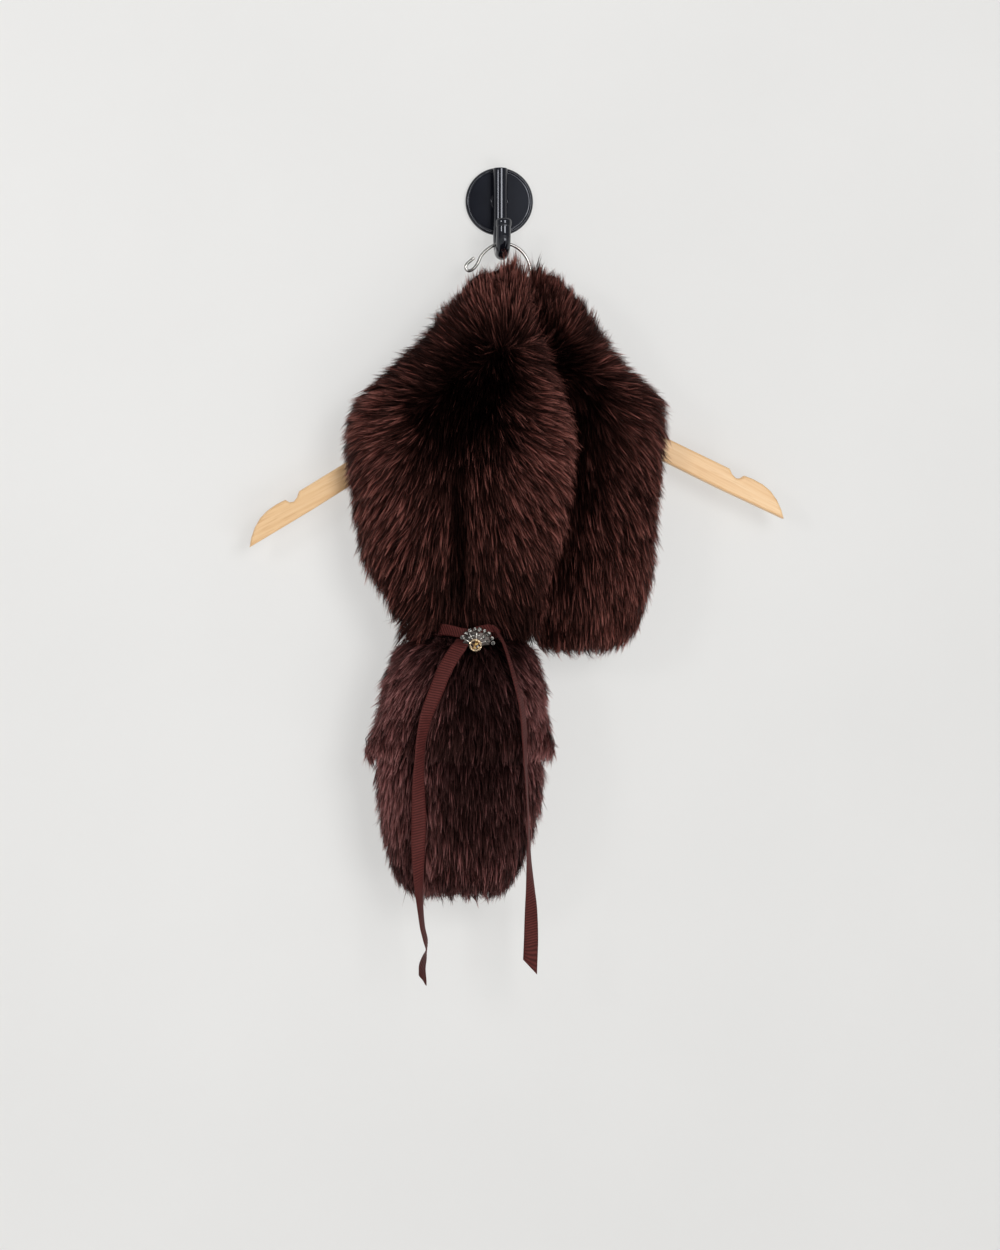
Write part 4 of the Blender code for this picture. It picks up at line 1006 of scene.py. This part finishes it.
def build_wall():
    """A pale wall that is clear from behind and casts no shadow, with painted light that makes it a
    little paler up and to the left, and a painted glow that shadows only partly darken.
    """
    n = Nodes("pale_wall")
    place = n.place()
    paint = n.ramp(n.noise(place, scale=3.0, detail=5.0), zip(PAINT_STOPS, WALL_PAINT))
    # painted light: the wall is painted paler up and to the left
    split = n("SeparateXYZ", {0: place}).outputs
    fall = n.math("ADD", *(n.math("MULTIPLY", split[k], rate) for k, rate in zip((0, 2), WALL_FALL)))
    shade = n.between(fall, WALL_LEVEL - WALL_CHANGE, WALL_LEVEL + WALL_CHANGE,
                      **{"From Min": -WALL_CHANGE, "From Max": WALL_CHANGE})
    colour = n("VectorMath", {0: paint, "Scale": shade}, operation="SCALE").outputs[0]
    lit = n("BsdfDiffuse", {"Color": colour}).outputs[0]
    # painted light: the wall glows, which lightens the shadows on it and the pile's back
    glow = n("Emission", {"Color": colour, "Strength": 1.0}).outputs[0]
    clear = n("BsdfTransparent").outputs[0]
    behind = n("NewGeometry").outputs["Backfacing"]
    shadow = n("LightPath").outputs["Is Shadow Ray"]
    through = n.math("MAXIMUM", behind, shadow)
    finish = n.finish(n.either(through, n.either(WALL_GLOW, lit, glow), clear))
    half = WALL_SIZE / 2
    plane("wall", [(-half, 0, FLOOR_Z), (half, 0, FLOOR_Z), (half, 0, half), (-half, 0, half)], finish)


def build_floor():
    n = Nodes("pale_floor")
    paint = n.ramp(n.noise(n.place(), scale=2.0, detail=4.0), zip(PAINT_STOPS, FLOOR_PAINT))
    finish = n.principled({"Base Color": paint, "Roughness": 0.8})
    half = FLOOR_SIZE / 2
    corners = [(x * half, y * half, FLOOR_Z) for x, y in ((-1, -1), (1, -1), (1, 1), (-1, 1))]
    plane("floor", corners, finish)


def build_light():
    """Soft studio light."""
    for name, (place, target, size, power) in LIGHTS.items():
        area_light(name, place, target, size, power)
    world = bpy.data.worlds.new("studio")
    bpy.context.scene.world = world
    world.use_nodes = True
    background = world.node_tree.nodes["Background"]
    background.inputs["Color"].default_value = (*WORLD_COLOUR, 1)
    background.inputs["Strength"].default_value = WORLD_STRENGTH
    bpy.context.scene.view_settings.view_transform = "Standard"
    bpy.context.scene.view_settings.look = "None"


# ---- the pelts


def end_pelt(node, comb, count, *about, **more):
    """A front or back pelt of one of the two ends, whose twin is the other one."""
    front = node.endswith("_front")
    twin = node.replace("_front", "_back") if front else node.replace("_back", "_front")
    side, strand = (-1, FRONT_STRAND) if front else (1, BACK_STRAND)
    return Pelt(node, node, twin, side, comb, strand, count, *about, **more)


def build_pelts():
    brown = fur_material("brown_fur_pile", BROWN_DARK, BROWN_LIGHT)
    plum = fur_material("tail_fur_pile", PLUM_DARK, PLUM_LIGHT)
    knit = cloth_material("pile_backing", BACKING_COLOUR)
    tail = {"contrast": TAIL_STREAK_TONE, "edge_tone": TAIL_EDGE_PAINTED_LIGHT}
    neck = {"depth": NECK_DEPTH, "seam_reach": NECK_SEAM_REACH}
    pelts = [
        end_pelt("long_end_front", LONG_COMB, 98000, (0.190, 0.320), 0.046, brown, END_SEAM,
                 LONG_REACHES, LONG_PARTINGS),
        end_pelt("long_end_back", LONG_BACK_COMB, 42000, (0.185, 0.310), 0.044, brown, END_SEAM,
                 LONG_BACK_REACHES),
        end_pelt("short_end_front", SHORT_COMB, 64000, (0.135, 0.320), 0.036, brown, END_SEAM,
                 [OVER_SHORT_FOOT, SHORT_TOP_TUFTS, SHORT_TOP_RIGHT], contrast=SHORT_STREAK_TONE,
                 under="long_end_front"),
        end_pelt("short_end_back", SHORT_BACK_COMB, 38000, (0.130, 0.315), 0.0335, brown, END_SEAM,
                 [OVER_SHORT_FOOT, SHORT_TOP_RIGHT]),
        end_pelt("tail_upper_front", TAIL_UPPER_COMB, 44000, (0.155, 0.108), 0.0148, plum, TAIL_SEAM,
                 TAIL_REACHES, mess=1.4, **tail),
        end_pelt("tail_upper_back", TAIL_BACK_COMB, 20000, (0.148, 0.105), 0.0138, plum, TAIL_SEAM,
                 TAIL_REACHES),
        end_pelt("tail_lower_front", TAIL_LOWER_COMB, 42000, (0.138, 0.108), 0.0132, plum, TAIL_SEAM,
                 [OVER_TAIL_FOOT], mess=1.2, **tail),
        end_pelt("tail_lower_back", TAIL_BACK_COMB, 20000, (0.131, 0.106), 0.0127, plum, TAIL_SEAM,
                 [OVER_TAIL_FOOT]),
        Pelt("neck_outer", "neck_back", "neck_back", 1, NECK_BACK_COMB, BACK_STRAND, 50000,
             (0.265, 0.195), 0.034, brown, NECK_SEAM, tilt=RIM_TILT, **neck),
        Pelt("neck_inner", "neck_back", "neck_back", -1, NECK_BACK_COMB, INNER_STRAND, 16000,
             (0.262, 0.190), 0.0365, brown, NECK_SEAM, rise=0.4, twin_tilt=RIM_TILT, **neck),
    ]
    for number, pelt in enumerate(pelts):
        rng = np.random.default_rng(SEED + number)
        surface = outer_face(pelt.node, pelt.side, pelt.tilt)
        twin = outer_face(pelt.twin, -pelt.side, pelt.twin_tilt)
        surface = joined_normals(surface, twin, pelt.seam_reach)
        name = f"{pelt.name}_cloth"
        cloth = add_piece(name, backing_mesh(name, pelt, surface), knit, pelt.node)
        pile = add_piece(f"{pelt.name}_pile", grow_pile(pelt, surface, rng), pelt.fur)


# ---- the ribbon


def eased_route(rows, step, parts=24):
    """A smooth route through rows of numbers whose first three are a place, at even steps."""
    rows = np.array(rows, float)
    padded = np.vstack([2 * rows[0] - rows[1], rows, 2 * rows[-1] - rows[-2]])
    t = np.linspace(0, 1, parts, endpoint=False)[:, None]
    pieces = []
    for a, b, c, d in zip(padded, padded[1:], padded[2:], padded[3:]):
        bent = 2 * a - 5 * b + 4 * c - d + t * (3 * (b - c) + d - a)
        pieces.append(b + 0.5 * t * (c - a + t * bent))
    dense = np.vstack(pieces + [rows[-1:]])
    run = np.concatenate([[0], np.cumsum(np.linalg.norm(np.diff(dense[:, :3], axis=0), axis=1))])
    stations = np.linspace(0, run[-1], max(int(run[-1] / step), 2))
    return np.stack([np.interp(stations, run, column) for column in dense.T], axis=1), stations


def set_ribs(mesh, heights):
    """Gives each point its height on its rib, which sets its painted groove shade."""
    layer = mesh.attributes.new(RIB_SHADE_LAYER, "FLOAT", "POINT")
    layer.data.foreach_set("value", heights.reshape(-1))


def ribbon_mesh(name, place, across, through, run, half, closed=False):
    """A ribbed strip: its middle line, the ways across and through it, and its half width at each."""
    u = np.linspace(-1, 1, RIBBON_COLUMNS)
    phase = (run[:, None] + RIB_SLANT * u * RIBBON_HALF) / RIB_PITCH
    rib = RIB_HEIGHT * np.cos(2 * math.pi * phase) * (1 - fade(np.abs(u), *RIB_END))
    cup = RIBBON_CUP * (1 - u * u)
    flat = place[:, None] + across[:, None] * (u * half[:, None])[:, :, None]
    lift = RIBBON_THICK / 2 * np.sqrt(np.clip(RIBBON_EDGE[0] - u ** RIBBON_EDGE[1], 0, 1))
    front = flat + through[:, None] * (cup + lift + rib)[:, :, None]
    back = flat + through[:, None] * (cup - lift - rib)[:, :, None]
    ring = np.concatenate([front, back[:, ::-1]], axis=1)
    rows, columns = ring.shape[:2]
    faces = skin(rows, columns, closed)
    if not closed:
        for base, flip in ((0, False), ((rows - 1) * columns, True)):
            for k in range(RIBBON_COLUMNS - 1):
                face = (base + k, base + columns - 1 - k, base + columns - 2 - k, base + k + 1)
                faces.append(face[::-1] if flip else face)
    mesh = smooth_mesh(name, ring, faces)
    height = 0.5 + rib / (2 * RIB_HEIGHT)
    set_ribs(mesh, np.concatenate([height, height[:, ::-1]], axis=1))
    return mesh


def ribbon_tail(name, rows, cut):
    """A free end: turned about its length as the rows say, and cut off aslant."""
    route, run = eased_route(rows, RIBBON_STEP)
    place, turn = route[:, :3], np.radians(route[:, 3])
    along = unit(np.gradient(place, axis=0))
    across = np.stack([np.cos(turn), np.sin(turn), np.zeros(len(turn))], axis=1)
    across = unit(across - along * dot(along, across))
    through = np.cross(along, across)
    mesh = ribbon_mesh(name, place, across, through, run, np.full(len(run), RIBBON_HALF))
    shift = fade(run, run[-1] - CUT_RUN, run[-1])[:, None, None]
    u = np.linspace(-1, 1, RIBBON_COLUMNS)
    u = np.concatenate([u, u[::-1]])
    slide = along[:, None] * ((cut * u + abs(cut))[None, :, None] * shift)
    points = coordinates(mesh).reshape(slide.shape) + slide * MM
    mesh.vertices.foreach_set("co", points.reshape(-1))
    mesh.update()
    return mesh, run[-1]


def waves(angle, parts):
    return sum(size * np.sin(number * angle + phase) for size, number, phase in parts)


def waist_band(name):
    """The ribbon round the waist: a closed ring, crumpled a little and drawn narrower at the knot."""
    rows = np.array(WAIST_RING + WAIST_RING[:1], float) + TIE_Z * UPWARD
    route, run = eased_route(rows, RIBBON_STEP)
    place, run = route[:-1], run[:-1]
    along = unit(np.roll(place, -1, axis=0) - np.roll(place, 1, axis=0))
    through = unit(np.cross(along, UPWARD))
    through *= np.sign(dot(place - place.mean(axis=0), through))
    turn = 2 * math.pi * run / run[-1]
    place = place + through * (BAND_LIFT + waves(turn, BAND_CRUMPLE)[:, None])
    place[:, 2] += waves(turn, BAND_RIPPLE)
    to_knot = np.abs(place[:, 0] - KNOT_AT[0]) + np.where(place[:, 1] > BAND_BACK[0], BAND_BACK[1], 0)
    half = RIBBON_HALF * (BAND_WIDTH[0] + BAND_WIDTH[1] * fade(to_knot, *BAND_GAIN))
    across = unit(UPWARD + through * waves(turn, BAND_TILT)[:, None])
    return ribbon_mesh(name, place, across, unit(np.cross(across, along)), run, half, True), run[-1]


def squarer(value, power=0.8):
    """A sine or cosine for a section that is squarer than a circle."""
    return math.copysign(abs(value) ** power, value)


def knot_mesh(name):
    """The knot: the ribbon drawn tight over the band, pleated from side to side."""
    rows, columns = 48, 56
    pleats, pleat_depth, rib_depth = 7, 0.055, 0.012
    wide, deep, high = (size / 2 for size in KNOT_SIZE)
    points = []
    for i in range(rows + 1):
        t = -1 + 2 * i / rows
        fall = (1 - abs(t) ** KNOT_END[0]) ** (1 / KNOT_END[1])
        waist = 1 - KNOT_WAIST * (1 - t * t)
        rib = rib_depth * math.cos(2 * math.pi * t * wide / RIB_PITCH)
        sway = PLEAT_SWAY[0] * math.sin(PLEAT_SWAY[1] * t)
        for angle in circle(columns):
            pleat = pleat_depth * math.cos(pleats * angle + sway) * (1 - PLEAT_FADE * t * t)
            size = fall * (1 + pleat + rib)
            points.append((
                KNOT_AT[0] + wide * t,
                KNOT_AT[1] + deep * size * squarer(math.cos(angle)),
                KNOT_AT[2] + high * size * waist * squarer(math.sin(angle)),
            ))
    mesh = smooth_mesh(name, points, skin(rows + 1, columns))
    set_ribs(mesh, np.full(len(points), KNOT_COLOUR))
    return mesh


def knot_fold(name):
    """The loop of ribbon that passes over the knot."""
    route, run = eased_route(KNOT_FOLD, RIBBON_STEP)
    along = unit(np.gradient(route, axis=0))
    across = unit(FOLD_ACROSS - along * dot(along, FOLD_ACROSS))
    half = FOLD_HALF[0] - FOLD_HALF[1] * np.abs(2 * run / run[-1] - 1) ** 2
    return ribbon_mesh(name, route, across, np.cross(across, along), run, half)


def build_ribbon():
    grosgrain = ribbon_material("grosgrain")
    for name, node, rows, cut in (
        ("left_tail", "ribbon_left", RIBBON_LEFT, LEFT_CUT),
        ("right_tail", "ribbon_right", RIBBON_RIGHT, RIGHT_CUT),
    ):
        mesh, length = ribbon_tail(name, rows, cut)
        tail = add_piece(name, mesh, grosgrain, node)
    mesh, length = waist_band("waist_ribbon")
    band = add_piece("waist_ribbon", mesh, grosgrain, "tie_band")
    add_piece("waist_knot", knot_mesh("knot"), grosgrain, "tie_knot")
    fold = add_piece("knot_fold", knot_fold("knot_fold"), grosgrain)


# ---- the brooch


class Shape:
    """Closed shells gathered into one mesh."""

    def __init__(self):
        self.verts, self.faces = [], []

    def add(self, rings, closed=False):
        """A skin over rings of points, with a fan over each end unless it is closed."""
        base, count = len(self.verts), len(rings[0])
        self.verts += [tuple(p) for ring in rings for p in ring]
        self.faces += skin(len(rings), count, closed, base)
        if not closed:
            for i, ring in ((0, rings[0]), (len(rings) - 1, rings[-1])):
                self.verts.append(tuple(np.mean(ring, axis=0)))
                hub = len(self.verts) - 1
                for k in range(count):
                    edge = (base + i * count + (k + 1) % count, base + i * count + k)
                    self.faces.append((hub, *(edge if i == 0 else edge[::-1])))

    def turn(self, centre, profile, sides, closed=False, start=0.0, twist=0.0):
        """A profile of (radius, height) turned about an axis that points at the viewer, -y."""
        self.add([
            [around(centre, radius, angle, height) for angle in circle(sides, start + twist * level)]
            for level, (radius, height) in enumerate(profile)
        ], closed)

    def tube(self, points, radii, sides=10):
        """A round rod through points, with a radius at each."""
        points = np.array(points, float)
        along = unit(np.gradient(points, axis=0))
        side = np.cross(along[0], SIDEWAYS)
        rings = []
        for middle, ahead, radius in zip(points, along, radii):
            side = unit(side - ahead * (side @ ahead))
            up = np.cross(side, ahead)
            ring = [middle + radius * (math.cos(a) * side + math.sin(a) * up) for a in circle(sides)]
            rings.append(ring)
        self.add(rings)

    def piece(self, name, finish, slot, node, sharp=None):
        """The piece that stands for a node: flat facets, or edges only from sharp degrees up."""
        mesh = smooth_mesh(name, self.verts, self.faces)
        if sharp is None:
            mesh.shade_flat()
        else:
            mesh.set_sharp_from_angle(angle=math.radians(sharp))
        mesh.update()
        add_piece(name, mesh, finish, node)


def sized(profile, by):
    return [(by * radius, height) for radius, height in profile]


def ring_profile(radius, wire, height, steps=8):
    """The round section of a ring, for Shape.turn."""
    return [(radius + wire * math.cos(a), height + wire * math.sin(a)) for a in circle(steps)]


def scalloped_plate():
    """The brooch's plate, lower under its middle than over it, with a lobed edge."""
    plate = Shape()
    rings = []
    for inset, height in PLATE_EDGE:
        ring = []
        for angle in circle(PLATE_SCALLOPS * LOBE_STEPS):
            lobe = 1 + PLATE_LOBE * math.cos(PLATE_SCALLOPS * angle)
            wide, high = PLATE_RADIUS[0], PLATE_RADIUS[1 if math.sin(angle) > 0 else 2]
            x = PLATE_AT[0] + (wide * lobe - inset) * math.cos(angle)
            z = PLATE_AT[1] + (high * lobe - inset) * math.sin(angle)
            ring.append((x, BROOCH_BACK - height, z))
        rings.append(ring)
    plate.add(rings)
    return plate


def build_brooch():
    plate, silver, clear, gilt, amber = scalloped_plate(), Shape(), Shape(), Shape(), Shape()
    top = BROOCH_BACK - PLATE_DEPTH
    for number, (x, z, radius) in enumerate(SMALL_STONES):
        foot = (x, top + STONE_SINK, z)
        silver.turn(foot, sized(CUP_PROFILE, radius), sides=18)
        claw = sized(CLAW_PROFILE, CLAW_RADIUS[0] * radius + CLAW_RADIUS[1])
        for degrees in (45, 135, 225, 315):
            angle = math.radians(degrees + CLAW_TURN * number)
            silver.turn(around(foot, CLAW_CIRCLE * radius, angle), claw, sides=8)
        clear.turn(foot, sized(STONE_PROFILE, radius), sides=8, start=STONE_TURN * number)
    seat = (AMBER_AT[0], top, AMBER_AT[1])
    for degrees in SPOKES:
        angle = math.radians(degrees)
        start, end = (np.array(around(seat, radius, angle, height)) for radius, height in SPOKE_ENDS)
        silver.tube([start + (end - start) * share for share in SPOKE_SHARES], SPOKE_RADII)
    gilt.turn(seat, BEZEL_PROFILE, sides=40)
    gilt.turn(seat, ring_profile(*BEZEL_WIRE), sides=40, closed=True)
    amber.turn(seat, AMBER_CUTS, AMBER_SIDES, twist=math.pi / AMBER_SIDES)

    # the plate's dark silver is partly its own metal and partly painted shade in the gaps between the
    # stones
    dull = metal_material("brooch_dark_silver", (0.07, 0.06, 0.055), roughness=0.35)
    bright = metal_material("brooch_bright_silver", (0.62, 0.59, 0.55), roughness=0.08)
    gold = metal_material("brooch_gilt", (0.88, 0.68, 0.46), roughness=0.12)
    honey = gem_material("amber_glass", AMBER_GLINT_STOPS, scale=420.0)
    crystal = gem_material("clear_glass", CLEAR_GLINT_STOPS, scale=700.0)
    plate.piece("brooch_plate", dull, "brooch_metal", "brooch_setting", sharp=50)
    silver.piece("brooch_cups", bright, "brooch_metal", "brooch_setting", sharp=40)
    gilt.piece("brooch_bezel", gold, "brooch_metal", "brooch_stone", sharp=40)
    amber.piece("brooch_amber", honey, "brooch_stone", "brooch_stone")
    clear.piece("brooch_small_stones", crystal, "brooch_stone", "brooch_setting")


# ---- the wall hook and the hanger


def rounded_end(length, radius, steps=6):
    """How far in from a rod's end each ring of its rounded edge lies, and the ring's radius there."""
    angles = [math.pi / 2 * k / steps for k in range(steps + 1)]
    return [(length * (1 - math.cos(a)), radius - length * (1 - math.sin(a))) for a in angles]


def hook_bar():
    """The wall hook's bar: down in front of its plate, round its bend and up into the cap."""
    end = rounded_end(BAR_ROUND, BAR_RADIUS)
    points = [(0, BAR_Y, BAR_TOP - inset) for inset, _ in end]
    points += [(0, BAR_Y, BAR_TOP + (BEND_Z - BAR_TOP) * k / BAR_STEPS) for k in range(1, BAR_STEPS)]
    points += [
        (0, BEND_Y + BEND_RADIUS * math.cos(a), BEND_Z - BEND_RADIUS * math.sin(a))
        for a in (math.pi * k / BEND_STEPS for k in range(BEND_STEPS + 1))
    ]
    points.append((0, CAP_Y, CAP_FOOT + BAR_OVERLAP))
    radii = [radius for _, radius in end]
    bar = Shape()
    bar.tube(points, radii + [BAR_RADIUS] * (len(points) - len(radii)), sides=32)
    return bar


def hook_cap():
    """The cap on the bar's upturned end: a flared foot and a rounded top."""
    rows = [(CAP_FOOT + up, radius) for up, radius in CAP_FLARE]
    rows += [(CAP_TOP - inset, radius) for inset, radius in reversed(rounded_end(CAP_ROUND, CAP_RADIUS))]
    cap = Shape()
    cap.tube([(0, CAP_Y, z) for z, _ in rows], [radius for _, radius in rows], sides=40)
    return cap


def wire_hook():
    """The hanger's wire, tilted with the hanger and rounded at both ends."""
    turn = (math.cos(HANGER_TILT), math.sin(HANGER_TILT))
    route = [
        (turn[0] * x + turn[1] * z, BEND_Y, HANGER_Z - turn[1] * x + turn[0] * z) for x, z in WIRE_PATH
    ]
    route, run = eased_route(route, WIRE_STEP)
    ends = fade(run, *WIRE_END) * fade(run[-1] - run, *WIRE_END)
    wire = Shape()
    wire.tube(route, WIRE_RADIUS * np.sqrt(ends), sides=16)
    return wire


def build_hooks():
    satin = lacquer_material("black_lacquer_satin", roughness=0.36, specular=0.08, paleness=1.5)
    gloss = lacquer_material("black_lacquer_gloss", roughness=0.07, specular=0.6, paleness=1.0)
    chrome = metal_material("chrome_wire_polish", (0.46, 0.45, 0.43), roughness=0.08)
    plate, rim, centre = Shape(), Shape(), (0, 0, 0)
    plate.turn(centre, FACE_PROFILE, sides=96)
    rim.turn(centre, RIM_PROFILE, sides=120, closed=True)
    rim.turn(centre, BOSS_PROFILE, sides=60)
    plate.piece("hook_plate", satin, "wall_hook", "wall_plate", sharp=50)
    rim.piece("hook_rim", gloss, "wall_hook", "wall_plate", sharp=50)
    hook_bar().piece("hook_bar", gloss, "wall_hook", "wall_bar", sharp=50)
    hook_cap().piece("hook_cap", gloss, "wall_hook", "bar_cap", sharp=50)
    wire_hook().piece("wire_hook", chrome, "hook_wire", "hanger_hook", sharp=60)
    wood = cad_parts["hanger_wood"].data
    wood.materials.clear()
    wood.materials.append(wood_material("lacquered_beech_grain"))


build_camera()
build_wall()
build_floor()
build_light()
build_pelts()
build_ribbon()
build_brooch()
build_hooks()
